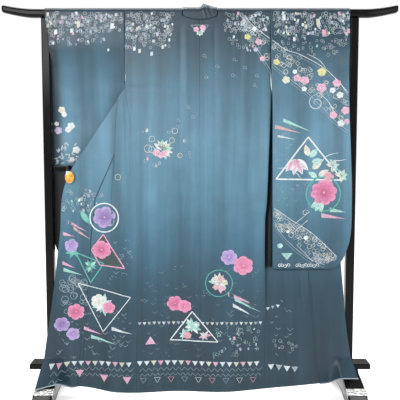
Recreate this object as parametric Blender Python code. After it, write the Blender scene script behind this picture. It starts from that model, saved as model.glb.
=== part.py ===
"""A long-sleeved silk kimono hung, opened, on a lacquered kimono stand.

Metres, +Z up. The stand's feet rest on z = 0 and the object is centred on x = 0, y = 0. The garment's back
faces -Y. Every cloth panel is a thin wall: a grid of points on its outer side, thickened inwards.
"""

import math

import bmesh
import bpy

# ---- Stand ---------------------------------------------------------------------------------------
RAIL_Z = 1.681  # axis of the top rail
RAIL_HALF = 0.018  # half of its square section
RAIL_CORNER = 0.013
RAIL_HALF_LENGTH = 0.842
RAIL_TIP_RISE = 0.020
RAIL_TIP_HALF = 0.0155
RAIL_TIP_START = 0.84  # share of the half length at which a tip starts to rise
RAIL_END_SHARE = 0.82  # size of the rounded end's last ring against the tip's
ARCH_REACH = 0.205  # half length of the arch under a foot
POST_X = 0.657
POST_SIZE = 0.037
MIDDLE_RAIL_Z = 1.021
MIDDLE_RAIL_HEIGHT = 0.022
MIDDLE_RAIL_DEPTH = 0.020
BOARD_TOP = 0.163
BOARD_THICK = 0.024
BOARD_DEPTH = 0.080
BOARD_HALF_LENGTH = 0.750
FOOT_WIDTH = 0.080
FOOT_HALF_LENGTH = 0.285
BAND_Y = 0.170  # middle of each metal band along the foot
BAND_LENGTH = 0.034
BAND_THICK = 0.0012
BAND_SIDE = 0.016  # how far a band reaches down the foot's sides
GAP = 0.0003  # clearance between pieces that touch

# ---- Garment -------------------------------------------------------------------------------------
CLOTH = 0.0015  # silk with its lining
COLLAR_CLOTH = 0.003  # the collar is folded double
WRAP = 0.0225  # outer radius of the cloth where it bends over the top rail
YOKE_Z = 1.672  # where the back panel leaves the rail
NECK_HALF = 0.075
NECK_DROP = 0.017  # how far the neck opening dips at the centre back
OVERLAP_TOP = 0.43  # where the overlap starts, as a share of the way from the shoulder to the fold
ARMHOLE_Z = 1.467  # lower end of the armhole seam
WRIST_Z = 1.450  # lower end of the wrist opening
SLEEVE_BOTTOM = 0.585
SEAM = 0.0005  # gap between neighbouring panels
FOOT_CLEAR = (0.560, 0.609)  # where a hem corner starts to rise, and where it has cleared the foot
DRAPE_Z = 0.20  # height at which a hem corner starts to lean over the foot
HEM_ROLL = 0.0040  # how far the rolled lining shows below the hem
CLIP_X = -0.558
CLIP_Y = -0.0485
CLIP_Z = 0.985
HOOK_THICK = 0.0016
EDGE_ROUND = 0.0032  # half thickness of a sleeve at its sewn edges
SLEEVE_HALF = 0.0062  # half thickness of the hanging part of a sleeve
SLEEVE_OPENS = (1.30, 1.58)  # heights between which a sleeve opens from that to the rail's width
SLEEVE_SHUT = 0.30  # share of a sleeve's width over which it closes towards its sewn outer edge
OVERLAP_TIP = 0.08  # width of the overlap's pointed top, as a share of its width at the fold
OVERLAP_DROOP = 0.040  # how far the overlap's free edge sags behind the back
SEAM_BLEND = 0.02  # width over which a front leaves the depth that it shares with the back at the side seam
STRIP_STEP = 0.008  # width over which the left front steps back behind the strip beside its overlap seam
STRIP_LOW, STRIP_FADE = 0.66, 0.12  # the strip starts at this height and stands out fully this much higher

# The collar over the rail, from its far side to its near: for the seam and for the free edge, the angle round the
# rail and the distance from the centre, as (seam angle, seam x, free x, free angle).
NECK_RING = [
    (3.40, 0.0750, 0.0340, 3.40), (3.10, 0.0728, 0.0300, 3.05), (2.60, 0.0728, 0.0280, 2.60),
    (2.10, 0.0728, 0.0270, 2.20), (1.60, 0.0728, 0.0265, 1.95), (1.10, 0.0728, 0.0260, 1.82),
    (0.60, 0.0728, 0.0250, 1.75), (0.10, 0.0726, 0.0240, 1.71), (-0.25, 0.0722, 0.0230, 1.68),
]
# Along the back neck the seam follows the body's edge: (seam x, free x, free angle).
NECK_CURVE = [(0.0690, 0.0210, 1.66), (0.0590, 0.0180, 1.65), (0.0480, 0.0145, 1.64), (0.0340, 0.0105, 1.63),
              (0.0180, 0.0055, 1.62)]
COLLAR_PEAK_X = 0.055  # where the collar's free edge stands highest off the rail
COLLAR_PEAK = 0.017  # how far it stands off there
COLLAR_PEAK_WIDTH = 0.035  # half width of that rise, measured along the seam
COLLAR_GAP = 0.0012  # height of the collar's seam over the back neck's edge
COLLAR_REACH = (0.043, 0.024)  # how far the collar's free edge lies in from the front edge, and below it

# Depth of the back panel's outer side and height of the hem, as (position, value) pairs.
BACK_DEPTH = [(0.03, -0.056), (0.50, -0.052), (1.00, -0.045), (1.35, -0.035), (YOKE_Z, -WRAP)]
HEM = [(-0.70, 0.044), (-0.54, 0.066), (-0.36, 0.044), (0.0, 0.046), (0.285, 0.056), (0.52, 0.086), (0.70, 0.095)]

# Each side's seams and edges as (z, x) pairs, from the hem up.
LEFT = {
    "sign": -1,
    "side_seam": [(0.03, -0.277), (0.60, -0.270), (0.866, -0.271), (0.973, -0.284), (1.203, -0.298),
                  (1.363, -0.3175), (1.52, -0.320), (1.70, -0.3185)],
    "overlap_seam": [(0.03, -0.545), (0.222, -0.524), (0.439, -0.499), (0.741, -0.471), (0.892, -0.454),
                     (1.071, -0.3665), (1.207, -0.361), (1.310, -0.351), (1.40, -0.345)],
    "front_edge": [(0.03, -0.694), (0.182, -0.680), (0.45, -0.640), (0.74, -0.605), (0.908, -0.593),
                   (1.005, -0.562), (1.10, -0.510), (1.207, -0.500), (1.40, -0.490)],
    "fold_top": (-0.3185, 1.363),
    "fold_end": (-0.562, 1.003),
    "front_depth": [(0.03, -0.056), (0.50, -0.052), (1.00, -0.040), (1.363, -0.0365)],
    "fold_depth": -0.0275,
    "corner": (-0.140, -0.35),
    "tuck": 0.008,
    "tuck_x": [(0.70, -0.382), (0.90, -0.381), (1.08, -0.366), (1.21, -0.361), (1.31, -0.351)],
    "sleeve_inner": [(SLEEVE_BOTTOM, -0.327), (1.10, -0.324), (1.36, -0.3225), (ARMHOLE_Z, -0.3200),
                     (1.70, -0.3190)],
    "sleeve_outer": [(SLEEVE_BOTTOM, -0.548), (0.592, -0.575), (0.612, -0.600), (0.643, -0.624), (0.680, -0.641),
                     (0.730, -0.648), (1.08, -0.648), (1.19, -0.6345), (1.50, -0.634), (1.56, -0.6365),
                     (1.60, -0.645), (1.65, -0.657), (1.70, -0.6615)],
    "sleeve_middle": [(SLEEVE_BOTTOM, 0.0275), (1.20, 0.0275), (1.30, 0.0195), (1.45, 0.008), (1.56, 0.0),
                      (1.70, 0.0)],
}
RIGHT = {
    "sign": 1,
    "side_seam": [(0.03, 0.286), (0.60, 0.276), (0.80, 0.2755), (0.853, 0.282), (0.973, 0.291), (1.346, 0.3007),
                  (1.467, 0.2996), (1.70, 0.2976)],
    "overlap_seam": [(0.03, 0.528), (0.272, 0.5026), (0.578, 0.4773), (0.80, 0.462), (0.95, 0.435), (1.10, 0.385),
                     (1.22, 0.355), (1.30, 0.338), (1.40, 0.330)],
    "front_edge": [(0.03, 0.692), (0.134, 0.672), (0.314, 0.641), (0.492, 0.6244), (0.6155, 0.6135),
                   (0.80, 0.602), (0.92, 0.592), (1.005, 0.562), (1.10, 0.525), (1.22, 0.495), (1.40, 0.475)],
    "fold_top": (0.3016, 1.346),
    "fold_end": (0.562, 1.003),
    "front_depth": [(0.03, -0.056), (0.28, -0.050), (0.50, -0.036), (0.62, -0.0255), (1.00, -0.0235),
                    (1.346, -0.0255)],
    "fold_depth": -0.0165,
    "corner": (-0.105, 0.0),
    "tuck": 0.0,
    "tuck_x": [(0.70, 0.382), (1.31, 0.351)],
    "sleeve_inner": [(SLEEVE_BOTTOM, 0.3139), (1.10, 0.3100), (1.31, 0.3073), (ARMHOLE_Z, 0.3003), (1.70, 0.2981)],
    "sleeve_outer": [(SLEEVE_BOTTOM, 0.563), (0.600, 0.592), (0.618, 0.610), (0.662, 0.631), (0.714, 0.646),
                     (0.887, 0.6525), (1.10, 0.644), (1.22, 0.637), (1.31, 0.6335), (1.48, 0.6325), (1.60, 0.6345),
                     (1.70, 0.6365)],
    "sleeve_middle": [(SLEEVE_BOTTOM, -0.045), (1.02, -0.044), (1.38, -0.043), (1.50, -0.026), (1.66, 0.0),
                      (1.70, 0.0)],
}


def through(points, at):
    """A smooth curve through (position, value) pairs, read at a position and held level past its ends."""
    if at <= points[0][0]:
        return points[0][1]
    if at >= points[-1][0]:
        return points[-1][1]
    k = max(i for i in range(len(points) - 1) if points[i][0] <= at)
    (a, va), (b, vb) = points[k], points[k + 1]
    slope = (vb - va) / (b - a)
    before = (va - points[k - 1][1]) / (a - points[k - 1][0]) if k else slope
    after = (points[k + 2][1] - vb) / (points[k + 2][0] - b) if k + 2 < len(points) else slope
    ma = 0.5 * (before + slope) if before * slope > 0 else 0.0
    mb = 0.5 * (after + slope) if after * slope > 0 else 0.0
    t = (at - a) / (b - a)
    h = b - a
    return (va * (1 + 2 * t) * (1 - t) ** 2 + ma * h * t * (1 - t) ** 2
            + vb * t * t * (3 - 2 * t) + mb * h * t * t * (t - 1))


def blend(a, b, t):
    return a + (b - a) * t


def ease(t):
    """0 to 1 with level ends."""
    t = min(1.0, max(0.0, t))
    return t * t * (3 - 2 * t)


def foot_top(y):
    """Height of a foot's upper side: it sweeps down towards both ends."""
    return 0.022 + 0.108 * math.cos(math.pi / 2 * min(1.0, abs(y) / FOOT_HALF_LENGTH)) ** 0.95


def foot_under(y):
    """Height of the arch under a foot, level on its pads."""
    return 0.052 * math.cos(math.pi / 2 * abs(y) / ARCH_REACH) if abs(y) < ARCH_REACH else 0.0


# ---- Where the cloth lies ------------------------------------------------------------------------
def over_rail(x, turn):
    """A point of the cloth bent over the rail; turn is 0 at the rail's axis height in front and pi behind it."""
    angle = min(math.pi, max(0.0, turn))
    straight = abs(turn - angle) * WRAP
    return (x, -WRAP * math.cos(angle), RAIL_Z + WRAP * math.sin(angle) - straight)


def hem_wave(x, z):
    """Soft vertical folds that open towards the hem."""
    return -0.010 * ease((0.95 - z) / 0.85) * math.cos(2 * math.pi * (x + 0.30) / 0.40)


def back_point(side, across, down):
    """across: 0 at the centre seam, 1 at the side seam. down: 0 at the yoke, 1 at the hem."""
    x_guess = across * through(side["side_seam"], 1.0)
    hem = through(HEM, x_guess)
    top = YOKE_Z
    x_top = across * through(side["side_seam"], YOKE_Z)
    if abs(x_top) < NECK_HALF:
        top -= NECK_DROP * (1 - (x_top / NECK_HALF) ** 2)
    z = blend(top, hem, down)
    seam_x = through(side["side_seam"], z)
    x = blend(side["sign"] * SEAM / 2, seam_x, across)
    return (x, through(BACK_DEPTH, z) + hem_wave(x, z), z)


def front_depth(side, x, z):
    """Depth of an opened front's outer side. It meets the back panel's depth at the side seam."""
    seam_x = through(side["side_seam"], z)
    out = abs(x) - abs(seam_x)
    at_seam = through(BACK_DEPTH, z)
    y = blend(at_seam, through(side["front_depth"], z), ease(out / SEAM_BLEND)) + hem_wave(x, z)
    tuck_x = through(side["tuck_x"], z)
    beside_strip = ease((abs(x) - abs(tuck_x)) / STRIP_STEP + 0.5) * ease((z - STRIP_LOW) / STRIP_FADE)
    return y + side["tuck"] * beside_strip


def over_foot(side, x, y, z, hem):
    """Moves a point near a hem corner forward and up, so that the corner drapes over the foot under it."""
    above = ease((abs(x) - FOOT_CLEAR[0]) / (FOOT_CLEAR[1] - FOOT_CLEAR[0]))
    down = max(0.0, (DRAPE_Z - z) / (DRAPE_Z - hem))
    reach, slope = side["corner"]
    hem_y = reach + slope * (abs(x) - FOOT_CLEAR[1])
    hem_z = foot_top(hem_y) + 0.012
    over = (blend(y, hem_y, down), blend(DRAPE_Z, hem_z, down))
    if down == 0.0:
        return (x, y, z)
    return (x, blend(y, over[0], above), blend(z, over[1], above))


def fold_height(side, column_x):
    """The height at which a column of an opened front, x as a function of z, meets the diagonal fold."""
    (x0, z0), (x1, z1) = side["fold_top"], side["fold_end"]
    low, high = z1 - 0.02, z0 + 0.001
    for _ in range(40):
        z = 0.5 * (low + high)
        fold_x = blend(x0, x1, (z0 - z) / (z0 - z1))
        if abs(column_x(z)) > abs(fold_x):
            high = z
        else:
            low = z
    return 0.5 * (low + high)


def fold_start(side, column_x):
    """The last point behind of a column, just before it turns round the diagonal fold, and the fold's radius."""
    z = fold_height(side, column_x)
    x = column_x(z)
    share = (side["fold_top"][1] - z) / (side["fold_top"][1] - side["fold_end"][1])
    y_front = front_depth(side, x, z)
    y_behind = blend(y_front, side["fold_depth"], ease(share / 0.08))
    return (x, y_behind, z), 0.5 * (y_behind - y_front)


def behind(shoulder, turn, t):
    """A point on the way from the shoulder, t = 0, down behind the back panel to where the front turns, t = 1."""
    return (blend(shoulder[0], turn[0], t), blend(shoulder[1], turn[1], ease(t) ** 0.7),
            blend(shoulder[2], turn[2], t))


def opened_column(side, column_x, behind_point, rows_behind, rows_fold, rows_front):
    """Points down one column of a front: behind the back panel, round the diagonal fold, and down to the hem."""
    (x0, z0), (x1, z1) = side["fold_top"], side["fold_end"]
    length = math.hypot(x1 - x0, z1 - z0)
    out = (side["sign"] * (z0 - z1) / length, abs(x1 - x0) / length)
    (x_fold, y_fold, z_fold), radius = fold_start(side, column_x)
    points = [behind_point(j / rows_behind) for j in range(rows_behind)]
    for j in range(rows_fold + 1):
        angle = math.pi * j / rows_fold
        reach = radius * math.sin(angle)
        points.append((x_fold + out[0] * reach, y_fold - radius * (1 - math.cos(angle)), z_fold + out[1] * reach))
    hem = through(HEM, column_x(0.05))
    for j in range(1, rows_front + 1):
        z = blend(z_fold, hem, j / rows_front)
        x = column_x(z)
        points.append(over_foot(side, x, front_depth(side, x, z), z, hem))
    return points


def seam_behind(side, t):
    """A point of the front panel's inner edge behind the back: t = 0 at the shoulder, 1 where it turns."""
    turn = fold_start(side, lambda z: through(side["overlap_seam"], z))[0]
    return behind(over_rail(side["sign"] * NECK_HALF, math.pi), turn, t)


def overlap_x(side, w):
    """x as a function of z of one column of the overlap, w = 0 at its seam and 1 at its front edge."""
    return lambda z: blend(through(side["overlap_seam"], z), through(side["front_edge"], z), w)


def overlap_behind(side, w, t):
    """A point of the overlap behind the back: t = 0 at its pointed top on the chest, 1 where it turns."""
    along = blend(OVERLAP_TOP, 1.0, t)
    x, y, z = seam_behind(side, along)
    seam_turn = seam_behind(side, 1.0)
    turn = fold_start(side, overlap_x(side, w))[0]
    spread = blend(OVERLAP_TIP, 1.0, t)
    droop = OVERLAP_DROOP * w * math.sin(math.pi * min(1.0, 0.12 + 0.88 * t))
    return (x + spread * (turn[0] - seam_turn[0]), y + t * (turn[1] - seam_turn[1]),
            z + spread * (turn[2] - seam_turn[2]) - droop)


# ---- Making objects ------------------------------------------------------------------------------
def material(name, colour, roughness, metallic=0.0):
    made = bpy.data.materials.new(name)
    made.use_nodes = True
    shader = made.node_tree.nodes["Principled BSDF"]
    shader.inputs["Base Color"].default_value = (*colour, 1.0)
    shader.inputs["Roughness"].default_value = roughness
    shader.inputs["Metallic"].default_value = metallic
    return made


def mesh_object(name, points, faces, look):
    """An object with its own material, from points and faces, with loose points dropped."""
    mesh = bpy.data.meshes.new(name)
    mesh.from_pydata(points, [], faces)
    mesh.materials.append(look)
    mesh.shade_smooth()
    made = bpy.data.objects.new(name, mesh)
    bpy.context.scene.collection.objects.link(made)
    return made


def cloth(name, points, faces, look, thick=CLOTH):
    """A wall of cloth behind the given outer side."""
    made = mesh_object(name, points, faces, look)
    wall = made.modifiers.new("Wall", "SOLIDIFY")
    wall.thickness = thick
    wall.offset = -1.0
    wall.use_even_offset = True
    wall.use_quality_normals = True
    return made


def bevelled(made, width, segments=3):
    bevel = made.modifiers.new("Edges", "BEVEL")
    bevel.width = width
    bevel.segments = segments
    bevel.limit_method = "ANGLE"
    return made


def box(name, low, high, look, edge):
    corners = [(x, y, z) for x in (low[0], high[0]) for y in (low[1], high[1]) for z in (low[2], high[2])]
    faces = [(0, 1, 3, 2), (4, 6, 7, 5), (0, 4, 5, 1), (2, 3, 7, 6), (0, 2, 6, 4), (1, 5, 7, 3)]
    return bevelled(mesh_object(name, corners, faces, look), edge)


# ---- Stand ---------------------------------------------------------------------------------------
def rounded_section(half, corner, steps=4):
    """(y, z) points of a square with round corners, anticlockwise seen from +X."""
    inner = half - corner
    points = []
    for k, (cy, cz) in enumerate([(inner, inner), (-inner, inner), (-inner, -inner), (inner, -inner)]):
        for s in range(steps + 1):
            angle = math.pi / 2 * (k + s / steps)
            points.append((cy + corner * math.cos(angle), cz + corner * math.sin(angle)))
    return points


def top_rail(look):
    """A square rail with round corners, thinner and swept up at both tips."""
    stations = [0.5, 0.80, 0.87, 0.90, 0.93, 0.96, 0.985, 1.0]
    stations = [-share for share in stations[::-1]] + [0.0] + stations
    points, faces = [], []
    for share in stations:
        along_tip = max(0.0, (abs(share) - RAIL_TIP_START) / (1.0 - RAIL_TIP_START))
        end = RAIL_END_SHARE if abs(share) == 1.0 else 1.0
        half = blend(RAIL_HALF, RAIL_TIP_HALF, ease(along_tip)) * end
        rise = RAIL_TIP_RISE * along_tip ** 1.6
        for y, z in rounded_section(half, RAIL_CORNER / RAIL_HALF * half):
            points.append((share * RAIL_HALF_LENGTH, y, RAIL_Z + rise + z))
    ring = len(points) // len(stations)
    for i in range(len(stations) - 1):
        for k in range(ring):
            a, b = i * ring + k, i * ring + (k + 1) % ring
            faces.append((a, b, b + ring, a + ring))
    faces.append(tuple(range(ring))[::-1])
    faces.append(tuple(range(len(points) - ring, len(points))))
    return mesh_object("top_rail", points, faces, look)


def foot(name, x, look):
    steps = 18
    ys = [FOOT_HALF_LENGTH * (2 * i / steps - 1) for i in range(steps + 1)]
    seat = BOARD_TOP - BOARD_THICK - GAP
    top = [(y, seat if abs(y) < BOARD_DEPTH / 2 else min(foot_top(y), seat)) for y in ys]
    arch = [ARCH_REACH * k / 4 for k in (4, 3, 2, 1, 0, -1, -2, -3, -4)]
    under_ys = [FOOT_HALF_LENGTH] + arch + [-FOOT_HALF_LENGTH]
    outline = top + [(y, foot_under(y)) for y in under_ys]
    n = len(outline)
    points = [(x + half, y, z) for half in (-FOOT_WIDTH / 2, FOOT_WIDTH / 2) for y, z in outline]
    faces = [tuple(range(n)), tuple(range(2 * n - 1, n - 1, -1))]
    faces += [(i, i + n, (i + 1) % n + n, (i + 1) % n) for i in range(n)]
    made = mesh_object(name, points, faces, look)
    mesh = bmesh.new()
    mesh.from_mesh(made.data)
    bmesh.ops.recalc_face_normals(mesh, faces=mesh.faces)
    mesh.to_mesh(made.data)
    mesh.free()
    return bevelled(made, 0.003, 2)


def foot_band(name, x, y_middle, look):
    """A thin metal saddle over a foot: its top and both sides."""
    half = FOOT_WIDTH / 2 + GAP
    ys = [y_middle + BAND_LENGTH * (i / 4 - 0.5) for i in range(5)]
    points, faces = [], []
    for y in ys:
        slope = (foot_top(y + 0.001) - foot_top(y - 0.001)) / 0.002
        lift = GAP * math.hypot(1.0, slope) * 2
        top = foot_top(y) + lift
        low = foot_top(y) - BAND_SIDE
        inner = [(half, low), (half, top), (-half, top), (-half, low)]
        t = BAND_THICK
        outer = [(half + t, low), (half + t, top + t), (-half - t, top + t), (-half - t, low)]
        points += [(x + px, y, pz) for px, pz in inner + outer[::-1]]
    for i in range(len(ys) - 1):
        for k in range(8):
            a, b = 8 * i + k, 8 * i + (k + 1) % 8
            faces.append((a, a + 8, b + 8, b))
    last = len(points) - 8
    for start, turn in ((0, 1), (last, -1)):
        for a, b, c, d in ((0, 1, 6, 7), (1, 2, 5, 6), (2, 3, 4, 5)):
            faces.append(tuple(start + k for k in (a, b, c, d))[::turn])
    made = mesh_object(name, points, faces, look)
    mesh = bmesh.new()
    mesh.from_mesh(made.data)
    bmesh.ops.recalc_face_normals(mesh, faces=mesh.faces)
    mesh.to_mesh(made.data)
    mesh.free()
    return made


def lacquer(name):
    return material("lacquer_" + name, (0.006, 0.006, 0.007), 0.12)


def stand():
    top_rail(lacquer("rail"))
    for label, sign in (("left", -1), ("right", 1)):
        half = POST_SIZE / 2
        box("post_" + label, (sign * POST_X - half, -half, BOARD_TOP + GAP),
            (sign * POST_X + half, half, RAIL_Z - RAIL_HALF - GAP), lacquer("post_" + label), 0.005)
        foot("foot_" + label, sign * POST_X, lacquer("foot_" + label))
        for end, at in (("front", -BAND_Y), ("rear", BAND_Y)):
            metal = material(f"metal_{label}_{end}", (0.75, 0.74, 0.70), 0.3, 1.0)
            foot_band(f"foot_band_{label}_{end}", sign * POST_X, at, metal)
    reach = POST_X - POST_SIZE / 2 - GAP
    box("middle_rail", (-reach, -MIDDLE_RAIL_DEPTH / 2, MIDDLE_RAIL_Z - MIDDLE_RAIL_HEIGHT / 2),
        (reach, MIDDLE_RAIL_DEPTH / 2, MIDDLE_RAIL_Z + MIDDLE_RAIL_HEIGHT / 2), lacquer("middle"), 0.004)
    box("base_board", (-BOARD_HALF_LENGTH, -BOARD_DEPTH / 2, BOARD_TOP - BOARD_THICK),
        (BOARD_HALF_LENGTH, BOARD_DEPTH / 2, BOARD_TOP), lacquer("board"), 0.004)


# ---- Garment pieces ------------------------------------------------------------------------------
def strip_faces(columns, flip):
    """Quads between neighbouring columns of point numbers of equal length."""
    faces = []
    for a, b in zip(columns, columns[1:]):
        for j in range(len(a) - 1):
            quad = (a[j], b[j], b[j + 1], a[j + 1])
            faces.append(quad[::-1] if flip else quad)
    return faces


def body_panel(name, side, look, rows_back=18, rows_rail=6, rows_behind=7, rows_fold=4, rows_front=14):
    """Back, shoulder and front in one cut."""
    neck_share = NECK_HALF / abs(through(side["side_seam"], YOKE_Z))
    shares = [0.0, neck_share / 2] + [blend(neck_share, 1.0, i / 6) for i in range(7)]
    points, back_columns, front_columns = [], [], []
    for share in shares:
        column = []
        for j in range(rows_back, -1, -1):
            column.append(len(points))
            points.append(back_point(side, share, j / rows_back))
        back_columns.append(column)
        if share < neck_share - 1e-9:
            continue
        x = points[column[-1]][0]
        front = [column[-1]]
        for j in range(rows_rail + 1):
            front.append(len(points))
            points.append(over_rail(x, math.pi * j / rows_rail))
        u = (1.0 - share) / (1.0 - neck_share)

        def column_x(z, u=u):
            seam = through(side["side_seam"], z) + side["sign"] * SEAM
            return blend(seam, through(side["overlap_seam"], z), u)

        shoulder = points[front[-1]]
        turn = fold_start(side, column_x)[0]
        below = opened_column(side, column_x, lambda t: behind(shoulder, turn, t),
                              rows_behind, rows_fold, rows_front)
        front += range(len(points), len(points) + len(below) - 1)
        points += below[1:]
        front_columns.append(front)
    flip = side["sign"] < 0
    faces = strip_faces(back_columns, flip) + strip_faces(front_columns, flip)
    return cloth(name, points, faces, look)


def overlap_panel(name, side, look, rows_behind=7, rows_fold=4, rows_front=14, columns=5):
    """The overlap, sewn to the front's inner edge from a point on the chest down to the hem."""
    sign = side["sign"]
    points, all_columns = [], []
    for i in range(columns + 1):
        w = i / columns
        column = opened_column(side, overlap_x(side, w), lambda t: overlap_behind(side, w, t),
                               rows_behind, rows_fold, rows_front)
        for j, (x, y, z) in enumerate(column):
            if j < rows_behind:
                shift = (0.0, -1.3 * SEAM)
            elif j <= rows_behind + rows_fold:
                shift = (0.6 * sign * SEAM, -1.1 * SEAM)
            else:
                shift = (sign * SEAM, 0.0)
            column[j] = (x + shift[0], y, z + shift[1])
        all_columns.append(list(range(len(points), len(points) + len(column))))
        points += column
    return cloth(name, points, strip_faces(all_columns, sign > 0), look)


def hem_roll(name, side, look, columns=5):
    """The lining rolled out below the hem of an overlap, toward its corner."""
    points, all_columns = [], []
    for i in range(columns + 1):
        column = opened_column(side, overlap_x(side, i / columns), lambda t: (0.0, 0.0, 0.0), 1, 4, 14)
        above, end = column[-2], column[-1]
        length = math.dist(above, end)
        down = [(b - a) / length for a, b in zip(above, end)]
        all_columns.append([len(points), len(points) + 1])
        shift = side["sign"] * SEAM
        for reach in (2 * SEAM, 2 * SEAM + HEM_ROLL):
            points.append((end[0] + shift + down[0] * reach, end[1] + down[1] * reach, end[2] + down[2] * reach))
    return cloth(name, points, strip_faces(all_columns, side["sign"] > 0), look, 0.0025)


def rail_clip(look):
    """An oval plate in front of the left overlap's upper corner, hung over the middle rail by a flat hook."""
    plate = bmesh.new()
    bmesh.ops.create_uvsphere(plate, u_segments=20, v_segments=10, radius=1.0)
    for v in plate.verts:
        bulge = 0.0045 if v.co.z > 0 else 0.0015
        v.co = (CLIP_X + 0.0195 * v.co.x, CLIP_Y - bulge * v.co.z, CLIP_Z + 0.026 * v.co.y)
    mesh = bpy.data.meshes.new("rail_clip")
    plate.to_mesh(mesh)
    plate.free()
    mesh.materials.append(look)
    mesh.shade_smooth()
    made = bpy.data.objects.new("rail_clip", mesh)
    bpy.context.scene.collection.objects.link(made)
    over = MIDDLE_RAIL_Z + MIDDLE_RAIL_HEIGHT / 2 + 0.001
    back = MIDDLE_RAIL_DEPTH / 2 + 0.001
    near = CLIP_Y - 0.0008
    route = [(near, CLIP_Z), (near, over - 0.002), (CLIP_Y + 0.004, over), (back, over), (back, over - 0.020)]
    t = HOOK_THICK
    outward = [(-t, 0.0), (-t, 0.001), (-t / 2, t), (t, t), (t, 0.0)]
    outer = [(y + dy, z + dz) for (y, z), (dy, dz) in zip(route, outward)]
    n = len(route)
    points = [(CLIP_X - 0.009 + dx, y, z) for dx in (-0.005, 0.005) for y, z in route + outer]
    faces = []
    for k in range(n - 1):
        a, b, c, d = k, k + 1, n + k + 1, n + k
        faces += [(a, b, c, d), tuple(v + 2 * n for v in (d, c, b, a))]
        faces += [(b, a, a + 2 * n, b + 2 * n), (d, c, c + 2 * n, d + 2 * n)]
    faces += [(0, n, 3 * n, 2 * n), (n - 1, 3 * n - 1, 4 * n - 1, 2 * n - 1)]
    hook = mesh_object("rail_clip_hook", points, faces, look)
    tidy = bmesh.new()
    tidy.from_mesh(hook.data)
    bmesh.ops.recalc_face_normals(tidy, faces=tidy.faces)
    tidy.to_mesh(hook.data)
    tidy.free()
    hook.hide_render = True
    hook.display_type = "WIRE"
    join = made.modifiers.new("Hook", "BOOLEAN")
    join.operation = "UNION"
    join.object = hook
    return made


def sleeve(name, side, look, columns=7, rows=14, rows_rail=6):
    """One cut folded over the rail, closed along its bottom and its outer edge below the wrist opening."""
    heights = [blend(SLEEVE_BOTTOM, YOKE_Z, (j / rows) ** 0.92) for j in range(rows + 1)]
    wrist = min(range(rows + 1), key=lambda j: abs(heights[j] - WRIST_Z))
    points, number = [], {}

    def half_gap(u, z, sewn):
        low_end, high_end = SLEEVE_OPENS
        open_half = blend(SLEEVE_HALF, WRAP, ease((z - low_end) / (high_end - low_end)))
        shut = ease((1 - u) / SLEEVE_SHUT) if sewn else 1.0
        low = ease((z - SLEEVE_BOTTOM) / 0.08)
        return blend(EDGE_ROUND, open_half, shut * low)

    def put(key, point):
        number[key] = len(points)
        points.append(point)

    def x_at(u, z):
        return blend(through(side["sleeve_inner"], z), through(side["sleeve_outer"], z), u)

    shares = [i / columns for i in range(columns + 1)]
    for i, u in enumerate(shares):
        for j, z in enumerate(heights):
            sewn = j <= wrist
            inset = side["sign"] * EDGE_ROUND * 0.9 if sewn and i == columns else 0.0
            lift = EDGE_ROUND * 0.9 if j == 0 else 0.0
            half = half_gap(u, z, sewn)
            middle = through(side["sleeve_middle"], z)
            for layer in (-1, 1):
                put((layer, i, j), (x_at(u, z) - inset, middle + layer * half, z + lift))
        put(("bottom", i), (x_at(u, SLEEVE_BOTTOM) - (side["sign"] * EDGE_ROUND * 0.9 if i == columns else 0.0),
                            through(side["sleeve_middle"], SLEEVE_BOTTOM), SLEEVE_BOTTOM))
        x = x_at(u, RAIL_Z)
        for k in range(rows_rail + 1):
            put(("rail", i, k), over_rail(x, math.pi * k / rows_rail))
    columns_of = []
    for i in range(columns + 1):
        near = [number[("bottom", i)]] + [number[(-1, i, j)] for j in range(rows + 1)]
        rail = [number[("rail", i, k)] for k in range(rows_rail + 1)]
        far = [number[(1, i, j)] for j in range(rows, -1, -1)] + [number[("bottom", i)]]
        columns_of.append(near + rail + far)
    flip = side["sign"] < 0
    faces = strip_faces(columns_of, flip)
    for j in range(wrist + 1):
        z = heights[j]
        put(("edge", j), (through(side["sleeve_outer"], z), through(side["sleeve_middle"], z),
                          z + (EDGE_ROUND * 0.9 if j == 0 else 0.0)))
    last = columns
    for j in range(wrist):
        a, b = number[("edge", j)], number[("edge", j + 1)]
        near = (number[(-1, last, j)], a, b, number[(-1, last, j + 1)])
        far = (a, number[(1, last, j)], number[(1, last, j + 1)], b)
        faces += [quad[::-1] if flip else quad for quad in (near, far)]
    corner = number[("bottom", last)]
    near = (corner, number[("edge", 0)], number[(-1, last, 0)])
    far = (corner, number[(1, last, 0)], number[("edge", 0)])
    faces += [tri[::-1] if flip else tri for tri in (near, far)]
    return cloth(name, points, faces, look)


def collar_half(side):
    """(seam point, free point) pairs from a front edge's fold, up behind the back and over the rail to the neck."""
    sign = side["sign"]
    edge = [overlap_behind(side, 1.0, t / 6) for t in (6, 5, 4, 3, 2, 1, 0)]
    upper = [seam_behind(side, t) for t in (0.36, 0.28, 0.20, 0.12, 0.05)]
    pairs = [((x - sign * 0.0020, y, z - 0.0012), (x - sign * COLLAR_REACH[0], y, z - COLLAR_REACH[1]))
             for x, y, z in edge + upper]
    for turn, x, free_x, free_turn in NECK_RING:
        pairs.append(((sign * x, turn), (sign * free_x, free_turn)))
    for x, free_x, free_turn in NECK_CURVE:
        pairs.append(((sign * x, neck_turn(x)), (sign * free_x, free_turn)))
    return pairs


def neck_turn(x):
    """Where the collar's seam lies in front of the rail, just above the back neck's edge."""
    edge = YOKE_Z - NECK_DROP * (1 - (x / NECK_HALF) ** 2)
    return (edge + COLLAR_GAP - RAIL_Z) / WRAP


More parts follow.
